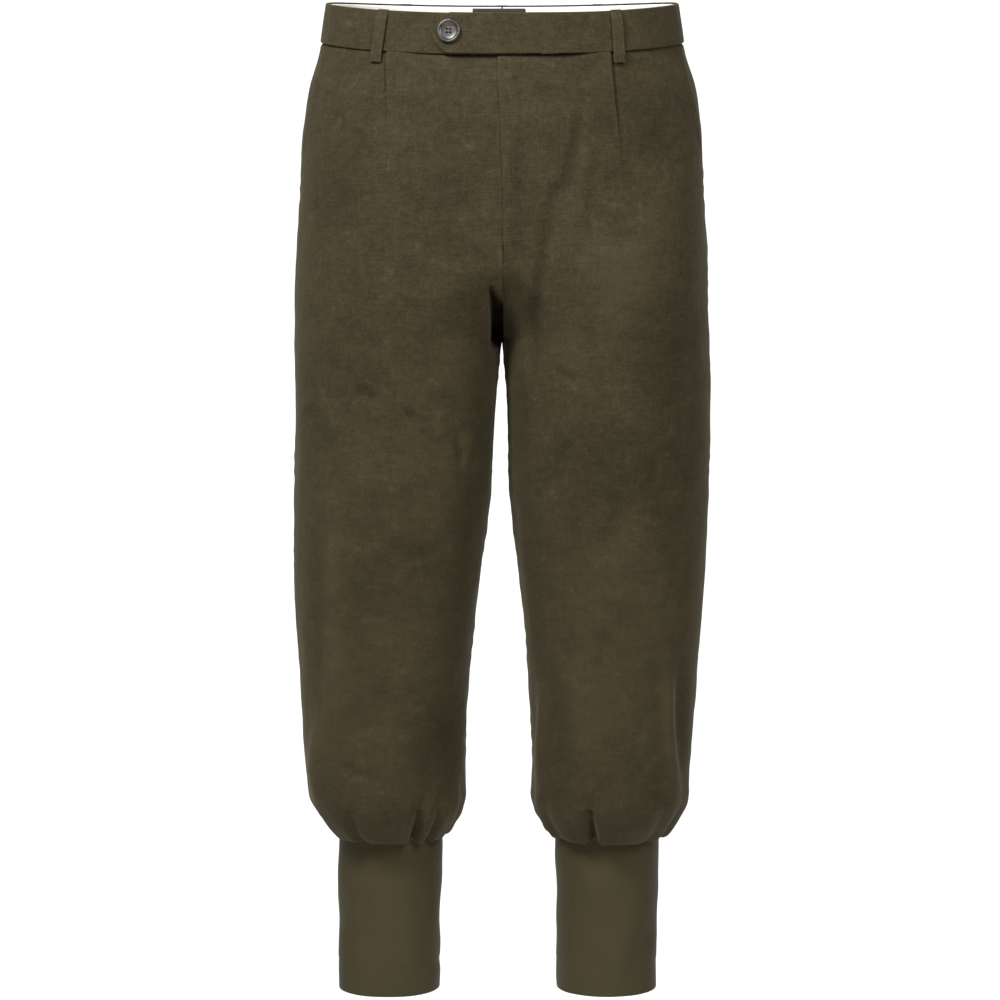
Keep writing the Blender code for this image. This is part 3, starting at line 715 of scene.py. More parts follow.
def panel_points(side, part, levels):
    """A panel's outer points, its directions out, and a colour weight for each place: paler where
    raised or rubbed, darker with painted shade where sunk, drawn in or hollowed.
    """
    own = settings().panels
    section = blended(PANEL_SECTIONS, levels)
    z = (section.z * MM)[:, None]
    if part == "front":
        angle, share, fade, fold_x = front_grid(side, levels)
        fade, fold_x = fade[:, None], fold_x[:, None]
    else:
        t = np.linspace(0, 1, 112)
        t = t - 0.3 * np.sin(math.tau * t) / math.tau
        start = (180 - section.turn)[:, None]
        angle = mix(start, 360 - section.back_open[:, None], t)
    grid = levels[:, None] + 0 * angle
    upper = grid < CROTCH_LEVEL
    base = cloth(grid, angle)
    # Just below the crotch the cloth faces out as it does a little lower down the leg.
    out = outward(np.where(upper, grid, np.maximum(grid, CROTCH_LEVEL + 0.3)), angle)
    x = base[..., 0]
    out[..., 0] = np.where(x < 2 * MM, np.minimum(out[..., 0], 0), out[..., 0])
    out = unit(out)
    from_start = along_rows(base)
    from_end = from_start[:, -1:] - from_start
    lift = np.zeros_like(x)
    if part == "front":
        down = smooth(z / -own.fly_bottom)
        edge = mix(FLY_TOP_EDGE, FLY_LOW_EDGE, down) if side == "left" else -FLY_UNDERLAP
        slide = mix(0.0, edge, fly_share(z))
        base[..., 0] += np.where(upper, slide * smooth(1 - x / (60 * MM)), 0)
        lift += front_lift(side, x, z, upper, share, fade, fold_x - x)
    drawn, swell = gathered(side, grid, z, angle)
    lift += np.where(grid > HEM_START - 4.5, swell - drawn, 0)
    # Place the leg on its side, then lay the creases on it.
    way = 1 if side == "left" else -1
    placed = base * [way, 1, 1]
    placed[..., 0] += (section.sway * MM)[:, None]
    out = out * [way, 1, 1]
    relief = creased(f"{part}_{side}", placed, -out[..., 1] if part == "front" else out[..., 1])
    calm = smooth((-z - 36 * MM) / (60 * MM)) * smooth((HEM_SETTLED - grid) / 2)
    for size, height, seed in ((0.16, 1, 3), (0.05, 0.28, 5), (0.018, 0.07, 8)):
        relief = relief + calm * waves(placed, size, own.unevenness * height, seed)
    seam, pucker = seam_edges(side, part, placed, z, upper, from_start, from_end)
    relief = relief + calm * pucker
    under_band = 2.6 * MM * smooth((z + 37.2 * MM) / (3.2 * MM))
    total = lift + relief - seam - under_band
    if part == "front":
        hollow = crotch_hollow(placed[..., 0], z)
        placed[..., 1] += HOLLOW_DEPTH * hollow * upper
    # Beside the middle the cloth only moves forwards and backwards, so the legs keep meeting.
    move = out * total[..., None]
    move[..., 0] *= np.where(upper, smooth(np.abs(x) / (9 * MM)), 1.0)
    points = placed + move
    # Cloth drawn in at a gather is drawn up as well.
    hem = smooth((grid - HEM_START) / 3) * smooth((HEM_SETTLED + 1 - grid) / 2)
    points[..., 2] += drawn * 0.4 * hem
    # The colour weight: raised places paler as rubbed nap; sunk creases, seam puckers and the
    # gathers' pits darker with painted shade.
    rubbed_and_painted_shade = relief * 450 - drawn * 60
    if part == "front":
        rubbed_and_painted_shade = front_shades(
            rubbed_and_painted_shade, side, x, z, upper, fade, fold_x, from_start, placed, hollow
        )
    return points, out, rubbed_and_painted_shade


def panel(side, part, material):
    own = settings().panels
    points, out, relief = panel_points(side, part, row_levels(own.cell))
    return shell(f"{part}_{side}_cloth", points, points - out * own.cloth, material, relief)


# --- Materials -----------------------------------------------------------------------------------


class Value:
    """A node socket that Python's operators work on, each adding its own Math node."""

    def __init__(self, tree, socket):
        self.tree, self.socket = tree, socket

    def _math(self, operation, *others, swap=False):
        node = self.tree.nodes.new("ShaderNodeMath")
        node.operation = operation
        values = [self, *others]
        if swap:
            values.reverse()
        for socket, value in zip(node.inputs, values):
            put(self.tree, socket, value)
        return Value(self.tree, node.outputs[0])

    def __add__(self, other):
        return self._math("ADD", other)

    __radd__ = __add__

    def __mul__(self, other):
        return self._math("MULTIPLY", other)

    __rmul__ = __mul__

    def __sub__(self, other):
        return self._math("SUBTRACT", other)

    def __rsub__(self, other):
        return self._math("SUBTRACT", other, swap=True)

    def __pow__(self, other):
        return self._math("POWER", other)

    def clamped(self, low=0.0, high=1.0):
        return self._math("MAXIMUM", low)._math("MINIMUM", high)

    def absolute(self):
        return self._math("ABSOLUTE")


def put(tree, socket, value):
    """Links a socket to a value, or sets it."""
    if isinstance(value, Value):
        tree.links.new(value.socket, socket)
    elif isinstance(value, bpy.types.NodeSocket):
        tree.links.new(value, socket)
    elif socket.type == "RGBA" and len(value) == 3:
        socket.default_value = (*value, 1.0)
    else:
        socket.default_value = value


class Nodes:
    """A node tree being built."""

    def __init__(self, tree):
        self.tree = tree

    def add(self, kind, output=0, inputs=None, **settings_of):
        node = self.tree.nodes.new(kind)
        for key, value in settings_of.items():
            setattr(node, key, value)
        for key, value in (inputs or {}).items():
            put(self.tree, node.inputs[key], value)
        return Value(self.tree, node.outputs[output]) if node.outputs else None


class Finish(Nodes):
    """A material being built on its Principled shader."""

    def __init__(self, name):
        self.material = bpy.data.materials.new(name)
        self.material.use_nodes = True
        super().__init__(self.material.node_tree)
        self.shader = self.tree.nodes["Principled BSDF"]
        self.place = self.add("ShaderNodeTexCoord", output="Object")

    def noise(self, size, detail=3.0, roughness=0.55, stretch=None):
        place = self.place
        if stretch:
            place = self.add("ShaderNodeMapping", inputs={"Vector": place, "Scale": stretch})
        inputs = {"Vector": place, "Scale": 1 / size, "Detail": detail, "Roughness": roughness}
        return self.add("ShaderNodeTexNoise", "Fac", inputs)

    def mixed(self, share, a, b):
        inputs = {"Factor": share, "A": a, "B": b}
        return self.add("ShaderNodeMix", "Result", inputs, data_type="RGBA")

    def bump(self, height, strength, distance):
        inputs = {"Height": height, "Strength": strength, "Distance": distance}
        return self.add("ShaderNodeBump", "Normal", inputs)

    def finish(self, **sockets):
        for name, value in sockets.items():
            put(self.tree, self.shader.inputs[name.replace("_", " ")], value)
        return self.material


def scaled(tint, share):
    return tuple(c * share for c in tint)


def moleskin():
    """Short brushed nap over a fine cross rib: patches lie lighter and darker, with stray flecks
    of lint, and the folds are rubbed a little paler; sunk troughs, pleat valleys, gather pits,
    the crotch hollow and the loops' grooves are darkened with painted shade."""
    tint = tuple(settings().panels.tint)
    look = Finish("moleskin_nap")
    broad = look.noise(0.075, 3, 0.55)
    patch = look.noise(0.022, 5, 0.68, stretch=(0.8, 0.8, 1.25))
    rib = look.noise(0.0034, 4, 0.72, stretch=(0.22, 0.22, 2.6))
    rain = look.noise(0.006, 4, 0.7, stretch=(2.4, 2.4, 0.3))
    specks = look.noise(0.0016, 3, 0.7)
    lint = look.noise(0.0058, 5, 0.75)
    relief = look.add("ShaderNodeAttribute", "Fac", attribute_name="relief")
    height_up = look.add("ShaderNodeSeparateXYZ", "Z", {"Vector": look.place})
    ruffled = height_up * 1.6 + 1.75
    fine = (rib - 0.5) * 0.85 + (rain - 0.5) * 0.5 + (specks - 0.5) * 1.3 + (lint - 0.5) * 1.0
    shade = (broad - 0.5) * 0.5 + (patch - 0.5) * 1.1 + fine * ruffled.clamped(0.85, 1.5)
    # The relief attribute lightens rubbed, raised places and darkens troughs, grooves and hollows
    # with painted shade.
    shade = shade + relief * 0.2
    share = (shade + 0.5).clamped()
    colour_of = look.mixed(share, scaled(tint, 0.66), scaled(tint, 1.38))
    rubbed = ((patch * lint - 0.33) * 9).clamped() * 0.3
    colour_of = look.mixed(rubbed, colour_of, (0.088, 0.074, 0.044))
    fold = look.noise(0.021, 3, 0.62, stretch=(1.0, 1.0, 1.3))
    crinkle = ((fold - 0.5).absolute() * -6 + 1).clamped() ** 2.0
    where = ((broad - 0.44) * 5).clamped()
    height = patch * 0.2 + rib * 0.3 + specks * 0.6 + crinkle * where * 0.85
    return look.finish(
        Base_Color=colour_of,
        Roughness=(0.86 + (specks - 0.5) * 0.12).clamped(),
        Normal=look.bump(height, 0.5, 0.0007),
        Specular_IOR_Level=0.10,
        Sheen_Weight=0.14,
        Sheen_Roughness=0.5,
        Sheen_Tint=(0.50, 0.44, 0.29),
    )


def stretch_knit():
    """A smooth fine knit with a soft gloss."""
    tint = tuple(settings().cuffs.tint)
    look = Finish("stretch_knit")
    broad = look.noise(0.05, 2, 0.5)
    wale = look.add(
        "ShaderNodeTexWave",
        "Fac",
        wave_type="BANDS",
        bands_direction="Z",
        inputs={"Vector": look.place, "Scale": 160.0, "Distortion": 0.6, "Detail": 1.0},
    )
    specks = look.noise(0.0012, 2, 0.6)
    share = ((broad - 0.5) * 0.6 + (specks - 0.5) * 0.3 + 0.5).clamped()
    return look.finish(
        Base_Color=look.mixed(share, scaled(tint, 0.86), scaled(tint, 1.12)),
        Roughness=(0.56 + (specks - 0.5) * 0.1).clamped(),
        Normal=look.bump(wale * 0.4 + specks * 0.6, 0.15, 0.0002),
        Specular_IOR_Level=0.08,
    )


def cotton():
    """The pale cotton of the lining, plainly woven."""
    tint = tuple(settings().waist.lining_tint)
    look = Finish("lining_cotton")
    weave = look.noise(0.0007, 2, 0.5)
    broad = look.noise(0.03, 2, 0.5)
    share = ((weave - 0.5) * 0.5 + (broad - 0.5) * 0.4 + 0.5).clamped()
    return look.finish(
        Base_Color=look.mixed(share, scaled(tint, 0.88), scaled(tint, 1.05)),
        Roughness=0.9,
        Normal=look.bump(weave, 0.3, 0.0003),
    )


def tape():
    tint = tuple(settings().waist.label_tint)
    look = Finish("label_tape")
    weave = look.noise(0.0006, 2, 0.5)
    return look.finish(
        Base_Color=look.mixed(weave, scaled(tint, 0.6), scaled(tint, 1.8)),
        Roughness=0.7,
        Normal=look.bump(weave, 0.3, 0.0002),
    )


def horn():
    """Dark polished horn, clouded with brown."""
    tint = tuple(settings().button.tint)
    look = Finish("horn_polish")
    cloud = look.noise(0.006, 4, 0.6, stretch=(1.0, 1.0, 2.2))
    vein = look.noise(0.0016, 3, 0.6, stretch=(1.0, 1.0, 3.0))
    share = ((cloud - 0.45) * 2.2 + (vein - 0.5) * 0.6).clamped()
    return look.finish(
        Base_Color=look.mixed(share, scaled(tint, 0.7), (0.11, 0.077, 0.056)),
        Roughness=(0.36 + (vein - 0.5) * 0.12).clamped(),
        Normal=look.bump(vein, 0.05, 0.0002),
        Specular_IOR_Level=0.5,
        Coat_Weight=0.2,
        Coat_Roughness=0.2,
    )


def thread():
    tint = tuple(settings().stitches.tint)
    look = Finish("sewing_thread")
    twist = look.noise(0.0005, 2, 0.5)
    return look.finish(
        Base_Color=look.mixed(twist, scaled(tint, 0.7), scaled(tint, 1.3)),
        Roughness=0.6,
        Normal=look.bump(twist, 0.3, 0.0002),
        Sheen_Weight=0.2,
    )


def finish_of(name, maker):
    """The finish of that name, made on its first use."""
    return bpy.data.materials.get(name) or maker()


# --- Pieces --------------------------------------------------------------------------------------


def hand_over(piece, node):
    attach(piece, ROOT)
    if node:
        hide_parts(node)


class BREECHES_OT_panels(bpy.types.Operator):
    """Makes the four leg panels, from the waist seam round the bloused hem to the cuff seam"""

    bl_idname = "breeches.panels"
    bl_label = "Leg panels"

    def execute(self, context):
        material = finish_of("moleskin_nap", moleskin)
        for side in ("left", "right"):
            for part in ("front", "back"):
                piece = panel(side, part, material)
                hand_over(piece, f"{part}_{side}")
        return {"FINISHED"}


class BREECHES_OT_cuffs(bpy.types.Operator):
    """Makes the two stretch cuffs"""

    bl_idname = "breeches.cuffs"
    bl_label = "Cuffs"

    def execute(self, context):
        own = settings().cuffs
        material = finish_of("stretch_knit", stretch_knit)
        angle = np.linspace(0, 360, 132, endpoint=False)[None, :]
        for side in ("left", "right"):
            way = 1 if side == "left" else -1
            level = np.linspace(0, len(CUFF_SECTIONS) - 1, 76)[:, None] + 0 * angle
            section = blended(CUFF_SECTIONS, level)
            x, y = ring(section, angle + 0 * level)
            z = section.z * MM
            points = np.stack([way * x + section.sway * MM, y, z], -1)
            ahead = np.roll(points, -1, 1) - np.roll(points, 1, 1)
            out = unit(np.cross(ahead, [0, 0, way]))
            soft = waves(points, 0.10, 0.9 * MM, 21 + way) + waves(points, 0.035, 0.22 * MM, 23)
            across, high = points[..., 0] / MM, z / MM
            slant = 0 * across
            for x0, z0, x1, z1, wide, tall in CUFF_CREASES[side]:
                size = math.hypot(x1 - x0, z1 - z0)
                ux, uz = (x1 - x0) / size, (z1 - z0) / size
                t = ((across - x0) * ux + (high - z0) * uz) / size
                d = ((across - x0) * -uz + (high - z0) * ux) / wide
                slant += bell(d, 1) * tall * smooth(t / 0.4) * smooth((1 - t) / 0.4) * MM
            hem = 0.5 * MM * smooth((z + 858 * MM) / (2 * MM)) - 0.5 * MM
            points = points + out * (soft + slant + hem)[..., None]
            inner = points - out * own.cloth
            piece = shell(f"cuff_{side}_knit", points, inner, material, closed=True)
            hand_over(piece, f"cuff_{side}")
        return {"FINISHED"}


def waist_place(turn, drop, proud):
    """Points at angles round the waist, distances below the top of the band and distances out of
    the line of the cloth, with their directions out."""
    turn, drop, proud = np.broadcast_arrays(*(np.asarray(v, float) for v in (turn, drop, proud)))
    turn = (turn + 180) % 360 - 180
    flip = np.stack([np.where(turn < 0, -1.0, 1.0)] + [np.ones_like(turn)] * 2, -1)
    level = level_at(-drop)
    section = blended(PANEL_SECTIONS, level)
    angle = mix(section.front_open, 360 - section.back_open, np.abs(turn) / 180)
    point, out = cloth(level, angle) * flip, outward(level, angle) * flip
    point[..., 0] += section.sway * MM
    return point + out * proud[..., None], out


def turn_at(x):
    """The angle round the front of the waist where the cloth is at x."""
    level = level_at(np.float64(-settings().waist.height / 2))
    section = blended(PANEL_SECTIONS, level)
    start, end = section.front_open, 360 - section.back_open
    turn = 180 * (angle_where(level, np.abs(np.asarray(x, float))) - start) / (end - start)
    return np.copysign(turn, x)


def rounded(drops, top, bottom, thickness, radius):
    """How far in from its face a band's outer and inner skins lie, with rounded edges."""
    edge = np.minimum(drops - top, bottom - drops)
    near = 1 - np.clip(edge / radius, 0, 1)
    half = thickness / 2 * np.sqrt(np.clip(1 - near * near, 0.004, 1))
    return thickness / 2 - half, thickness / 2 + half


def strap(name, turns, tops, bottoms, prouds, thickness, material, rows=20, radius=0.9 * MM):
    """A band with rounded edges, round the waist through stations of an angle, the drops of its
    two edges and how far it stands out. Each may also vary down the band."""
    share = np.linspace(0, 1, rows)
    share = (share - 0.8 * np.sin(math.tau * share) / math.tau)[:, None]
    turns, tops, bottoms, prouds = (np.asarray(v, float) for v in (turns, tops, bottoms, prouds))
    drops = mix(tops, bottoms, share)
    far, near = rounded(drops, tops, bottoms, thickness, radius)
    point, out = waist_place(turns + 0 * drops, drops, prouds + 0 * drops)
    outer, inner = point - out * far[..., None], point - out * near[..., None]
    edge = np.minimum(drops - tops, bottoms - drops)
    return shell(name, outer, inner, material, 1.3 * bell(edge, 1.1 * MM))


# The tab's end from its tip: how far from the middle of the body in millimetres, and the shares
# of the band's height where its lower and its upper edge run.
Tab = namedtuple("Tab", "x low high")
TAB = [
    Tab(58.3, 0.42, 0.56),
    Tab(57.9, 0.36, 0.62),
    Tab(56.5, 0.29, 0.68),
    Tab(51.5, 0.12, 0.86),
    Tab(48.5, 0.03, 0.95),
    Tab(46.0, 0.004, 0.992),
    Tab(44.0, 0.0, 1.0),
    Tab(34.0, 0.0, 1.0),
]


def tab_stations():
    """The tab's stations from its tip: X, and the shares of the height of its two edges."""
    ends = np.array(TAB)
    reach = np.concatenate(
        [np.linspace(a, b, 5, endpoint=False) for a, b in zip(ends[:-1, 0], ends[1:, 0])]
    )
    x = -reach * MM
    low, high = (np.interp(-x / MM, ends[::-1, 0], ends[::-1, column]) for column in (1, 2))
    return x, low, high


class BREECHES_OT_waistband(bpy.types.Operator):
    """Makes the two halves of the waistband, the left one with its pointed tab"""

    bl_idname = "breeches.waistband"
    bl_label = "Waistband"

    def execute(self, context):
        own = settings().waist
        material = finish_of("moleskin_nap", moleskin)
        for side, way in (("left", 1), ("right", -1)):
            turns = np.linspace(-8 if way > 0 else -5, CENTRE_BACK, 240)
            tops, bottoms = 0 * turns, 0 * turns + own.height
            lap = own.tab_lift * smooth(1 - (turns - 6) / 18) if way > 0 else 0 * turns
            if way > 0:
                x, low, high = tab_stations()
                turns = np.concatenate([turn_at(x), turns])
                tops = np.concatenate([(1 - high) * own.height, tops])
                bottoms = np.concatenate([(1 - low) * own.height, bottoms])
                lap = np.concatenate([0 * x + own.tab_lift, lap])
            # The band swells a little between its seams and waves along them.
            share = np.linspace(0, 1, 20)[:, None]
            swell = 0.5 * MM * np.sin(math.pi * share) + 0 * turns
            a = np.radians(turns) * way
            soft = np.sin(a * 5.0 + 1) + 0.8 * np.sin(a * 11.3 + share * 1.2) + 0.6 * np.sin(a * 23)
            pucker = np.sin(a * 71 + 2 * np.sin(a * 19)) * smooth(share * 3 - 2.1) * 0.16 * MM
            proud = own.proud + lap * (0.75 + 0.5 * share) + swell + soft * 0.2 * MM + pucker
            proud = np.where(turns > 176, own.proud + swell, proud)
            band = strap(
                f"waistband_{side}_cloth", way * turns, tops, bottoms, proud, own.cloth, material
            )
            hand_over(band, f"waistband_{side}")
        return {"FINISHED"}


class BREECHES_OT_lining(bpy.types.Operator):
    """Makes the pale strips inside the waistband and the plain label at the centre back"""

    bl_idname = "breeches.lining"
    bl_label = "Lining and label"

    def execute(self, context):
        own = settings().waist
        cream = finish_of("lining_cotton", cotton)
        proud = own.proud - own.cloth - GAP
        for side, way in (("left", 1), ("right", -1)):
            turns = np.linspace(8.5, CENTRE_BACK, 200)
            a = np.radians(turns)
            soft = (np.sin(a * 9 + way) + np.sin(a * 17)) * 0.1 * MM
            top, bottom = 0 * turns + 1.5 * MM, 0 * turns + own.height - 1 * MM
            piece = strap(
                f"waist_lining_{side}_cloth", way * turns, top, bottom, proud + soft - 0.2 * MM,
                own.lining, cream, rows=12, radius=0.4 * MM,
            )
            hand_over(piece, f"waist_lining_{side}")
        x = np.linspace(-26.8, 21.2, 20) * MM
        turns = 180 - np.copysign(turn_at(np.abs(x)), x)
        piece = strap(
            "label_tape", turns, 0 * x + 2.6 * MM, 0 * x + 26.6 * MM,
            0 * x + proud - own.lining - 0.75 * MM, LABEL_CLOTH,
            finish_of("label_tape", tape), rows=10, radius=0.3 * MM,
        )
        hand_over(piece, "label")
        return {"FINISHED"}


def loop_place(loop, share, across, sink=0.0):
    """Points on a belt loop's face: the share of the way down, and millimetres across."""
    own = settings().waist
    share, across = np.broadcast_arrays(share, across)
    sewn = own.proud + GAP + LOOP_CLOTH
    near, _ = waist_place(np.array([-0.25, 0.25]) + loop.top, own.height / 2, 0.0)
    per_mm = 0.5 / (np.linalg.norm(near[1] - near[0]) / MM)
    turn = mix(loop.top, loop.bottom, share) + across * per_mm
    drop = mix(-0.2 * MM, own.height + own.loop_drop, share)
    held = smooth(share / 0.22) * smooth((1 - share) / 0.2)
    round_off = 0.35 * MM * (across / 5.25) ** 4
    proud = sewn + own.loop_stand * held + 0.35 * MM * smooth((share - 0.8) / 0.05) - round_off
    return waist_place(turn, drop, proud - sink)


class BREECHES_OT_loops(bpy.types.Operator):
    """Makes the five belt loops, each a folded strap sewn at both ends"""

    bl_idname = "breeches.loops"
    bl_label = "Belt loops"

    def execute(self, context):
        material = finish_of("moleskin_nap", moleskin)
        half = settings().waist.loop_width / 2 / MM
        share = np.linspace(0, 1, 60)[:, None]
        across = np.linspace(-1, 1, 17)
        across = half * (across + 0.25 * np.sin(math.pi * across))[None, :]
        across = half * across / across.max()
        for loop in LOOPS:
            point, out = loop_place(loop, share, across)
            edge = half - np.abs(across) + 0 * share
            groove = bell(edge - 1.9, 0.55) * 0.32 * MM
            near = 1 - np.clip(edge / 0.8, 0, 1)
            end = 1 - np.clip(np.minimum(share, 1 - share) * 45 / 0.8, 0, 1)
            thick = LOOP_CLOTH / 2
            skin = thick * np.sqrt(np.clip(1 - np.maximum(near, end + 0 * near) ** 2, 0.01, 1))
            outer = point - out * (groove + thick - skin)[..., None]
            inner = point - out * (thick + skin)[..., None]
            # The loops' edges are paler, and their stitch grooves are darkened with painted shade.
            paler = 0.9 + 1.2 * bell(edge, 0.8) - 1.2 * groove / (0.32 * MM)
            piece = shell(f"{loop.name}_cloth", outer, inner, material, paler)
            hand_over(piece, loop.name)
        return {"FINISHED"}


# The button's turned profile in millimetres: radius and height above its underside.
Turn = namedtuple("Turn", "radius height")
BUTTON = [
    Turn(7.3, 0.0),
    Turn(8.8, 0.35),
    Turn(9.7, 1.0),
    Turn(10.15, 1.8),
    Turn(10.15, 2.3),
    Turn(9.9, 2.8),
    Turn(9.4, 3.12),
    Turn(8.8, 3.2),
    Turn(8.2, 3.05),
    Turn(7.7, 2.7),
    Turn(7.2, 2.35),
    Turn(6.4, 2.15),
    Turn(4.0, 2.0),
]
HOLE_AT = 1.5  # millimetres from the button's middle, across and up


def button_frame():
    """Where the button lies: its middle, and the directions across, up and out."""
    own, waist = settings().button, settings().waist
    place, out = waist_place(
        turn_at(-own.from_middle), own.drop, waist.proud + waist.tab_lift + 0.9 * MM
    )
    place, out = Vector(place), Vector(out)
    across = Vector((0, 0, 1)).cross(out).normalized()
    return place, Matrix((across, out.cross(across), out)).transposed()


class BREECHES_OT_button(bpy.types.Operator):
    """Makes the four-hole horn button on the tab"""

    bl_idname = "breeches.button"
    bl_label = "Button"

    def execute(self, context):
        own = settings().button
        count = 72
        a = np.linspace(0, math.tau, count, endpoint=False)
        widest = max(turn.radius for turn in BUTTON)
        bm = bmesh.new()
        rings = []
        for radius, height in BUTTON:
            r = radius / widest * own.radius
            rings.append([bm.verts.new((r * math.cos(t), r * math.sin(t), height * MM)) for t in a])
        for lower, upper in zip(rings, rings[1:]):
            for i in range(count):
                j = (i + 1) % count
                bm.faces.new((lower[i], lower[j], upper[j], upper[i]))
        bm.faces.new(rings[0][::-1])
        bm.faces.new(rings[-1])
        piece = in_scene("button_horn", mesh_of("button_horn", bm))
        bm = bmesh.new()
        for x in (-HOLE_AT, HOLE_AT):
            for y in (-HOLE_AT, HOLE_AT):
                at = Matrix.Translation((x * MM, y * MM, 0))
                bmesh.ops.create_cone(
                    bm, cap_ends=True, segments=24, radius1=own.hole, radius2=own.hole,
                    depth=8 * MM, matrix=at,
                )
        cutter = in_scene("button_drills", mesh_of("button_drills", bm))
        drilled = piece.modifiers.new("holes", "BOOLEAN")
        drilled.operation, drilled.solver, drilled.object = "DIFFERENCE", "EXACT", cutter
        made_real(piece)
        mesh = piece.data
        bpy.data.objects.remove(cutter)
        place, turned = button_frame()
        mesh.transform(Matrix.Translation(place) @ turned.to_4x4())
        mesh.materials.clear()
        mesh.materials.append(finish_of("horn_polish", horn))
        mesh.shade_smooth()
        mesh.set_sharp_from_angle(angle=math.radians(40))
        hand_over(piece, "button")
        return {"FINISHED"}


class ThreadNodes(Nodes):
    """A Geometry Nodes tree that lays thread along the lines of a mesh. numbers names its sizes."""

    def __init__(self, name, numbers):
        super().__init__(bpy.data.node_groups.new(name, "GeometryNodeTree"))
        kinds = {"Geometry": "Geometry", **{label: "Float" for label in numbers}}
        kinds["Material"] = "Material"
        for label, kind in kinds.items():
            self.socket(label, kind, "INPUT")
        self.socket("Geometry", "Geometry", "OUTPUT")
        given = self.tree.nodes.new("NodeGroupInput")
        self.given = {s.name: Value(self.tree, s) for s in given.outputs if s.name}
        self.curve = self.add("GeometryNodeMeshToCurve", "Curve", {"Mesh": self.given["Geometry"]})

    def socket(self, label, kind, in_out):
        self.tree.interface.new_socket(label, in_out=in_out, socket_type=f"NodeSocket{kind}")

    def finish(self, made):
        """Makes the instances real, smooths them and gives them the thread's material."""
        real = self.add("GeometryNodeRealizeInstances", 0, {"Geometry": made})
        soft = self.add("GeometryNodeSetShadeSmooth", 0, {"Geometry": real})
        inputs = {"Geometry": soft, "Material": self.given["Material"]}
        self.add("NodeGroupOutput", 0, {"Geometry": self.add("GeometryNodeSetMaterial", 0, inputs)})
        return self.tree


def stitch_tree():
    """Short stitches laid end to end along every line of a mesh."""
    nodes = ThreadNodes("running_stitch", ("Space", "Stitch", "Thread"))
    given = nodes.given
    inputs = {"Curve": nodes.curve, "Length": given["Space"]}
    spaced = nodes.add("GeometryNodeResampleCurve", "Curve", inputs, mode="LENGTH")
    inputs = {"Segments": 8, "Rings": 5, "Radius": 0.5}
    bead = nodes.add("GeometryNodeMeshUVSphere", "Mesh", inputs)
    inputs = {"X": given["Stitch"], "Y": given["Thread"], "Z": given["Thread"]}
    size = nodes.add("ShaderNodeCombineXYZ", 0, inputs)
    formed = nodes.add("GeometryNodeTransform", "Geometry", {"Geometry": bead, "Scale": size})
    tangent = nodes.add("GeometryNodeInputTangent")
    turned = nodes.add("FunctionNodeAlignEulerToVector", 0, {"Vector": tangent}, axis="X")
    inputs = {"Points": spaced, "Instance": formed, "Rotation": turned}
    return nodes.finish(nodes.add("GeometryNodeInstanceOnPoints", "Instances", inputs))


def tube_tree():
    """Thread of one thickness along every line of a mesh."""
    nodes = ThreadNodes("laid_thread", ("Thread",))
    inputs = {"Resolution": 6, "Radius": nodes.given["Thread"] * 0.5}
    circle = nodes.add("GeometryNodeCurvePrimitiveCircle", "Curve", inputs)
    inputs = {"Curve": nodes.curve, "Profile Curve": circle, "Fill Caps": True}
    return nodes.finish(nodes.add("GeometryNodeCurveToMesh", "Mesh", inputs))


def sewn(name, lines, tree, numbers, material):
    """Runs a thread tree along lines of points and keeps the mesh that it makes."""
    points, edges = [], []
    for line in lines:
        start = len(points)
        points += [tuple(map(float, point)) for point in line]
        edges += [(i, i + 1) for i in range(start, len(points) - 1)]
    mesh = bpy.data.meshes.new(name)
    mesh.from_pydata(points, edges, [])
    piece = in_scene(name, mesh)
    given = {**numbers, "Material": material}
    modifier = piece.modifiers.new("thread", "NODES")
    modifier.node_group = tree
    for item in tree.interface.items_tree:
        if item.item_type == "SOCKET" and item.in_out == "INPUT" and item.name in given:
            modifier[item.identifier] = given[item.name]
    made_real(piece)
    hand_over(piece, None)


def laid_on(piece, places, depth=0.0):
    """Places moved along Y onto the front of a finished piece, sunk by a depth."""
    surface = BVHTree.FromObject(piece, bpy.context.evaluated_depsgraph_get())
    line = []
    for x, z in places:
        hit, normal, _, _ = surface.ray_cast(Vector((x, -0.5, z)), Vector((0, 1, 0)))
        if hit is None:
            raise RuntimeError(f"no cloth of {piece.name} at {x:.4f}, {z:.4f}")
        line.append(hit - normal * depth)
    return line


def zigzag(start, end, width, pitch):
    """Points of a close zigzag from one place to the other."""
    start, end = Vector(start), Vector(end)
    run = end - start
    side = Vector((-run.y, run.x)).normalized() * (width / 2)
    count = max(2, round(run.length / pitch))
    return [
        tuple(start + run * i / count + side * (1 if i % 2 else -1)) for i in range(count + 1)
    ]


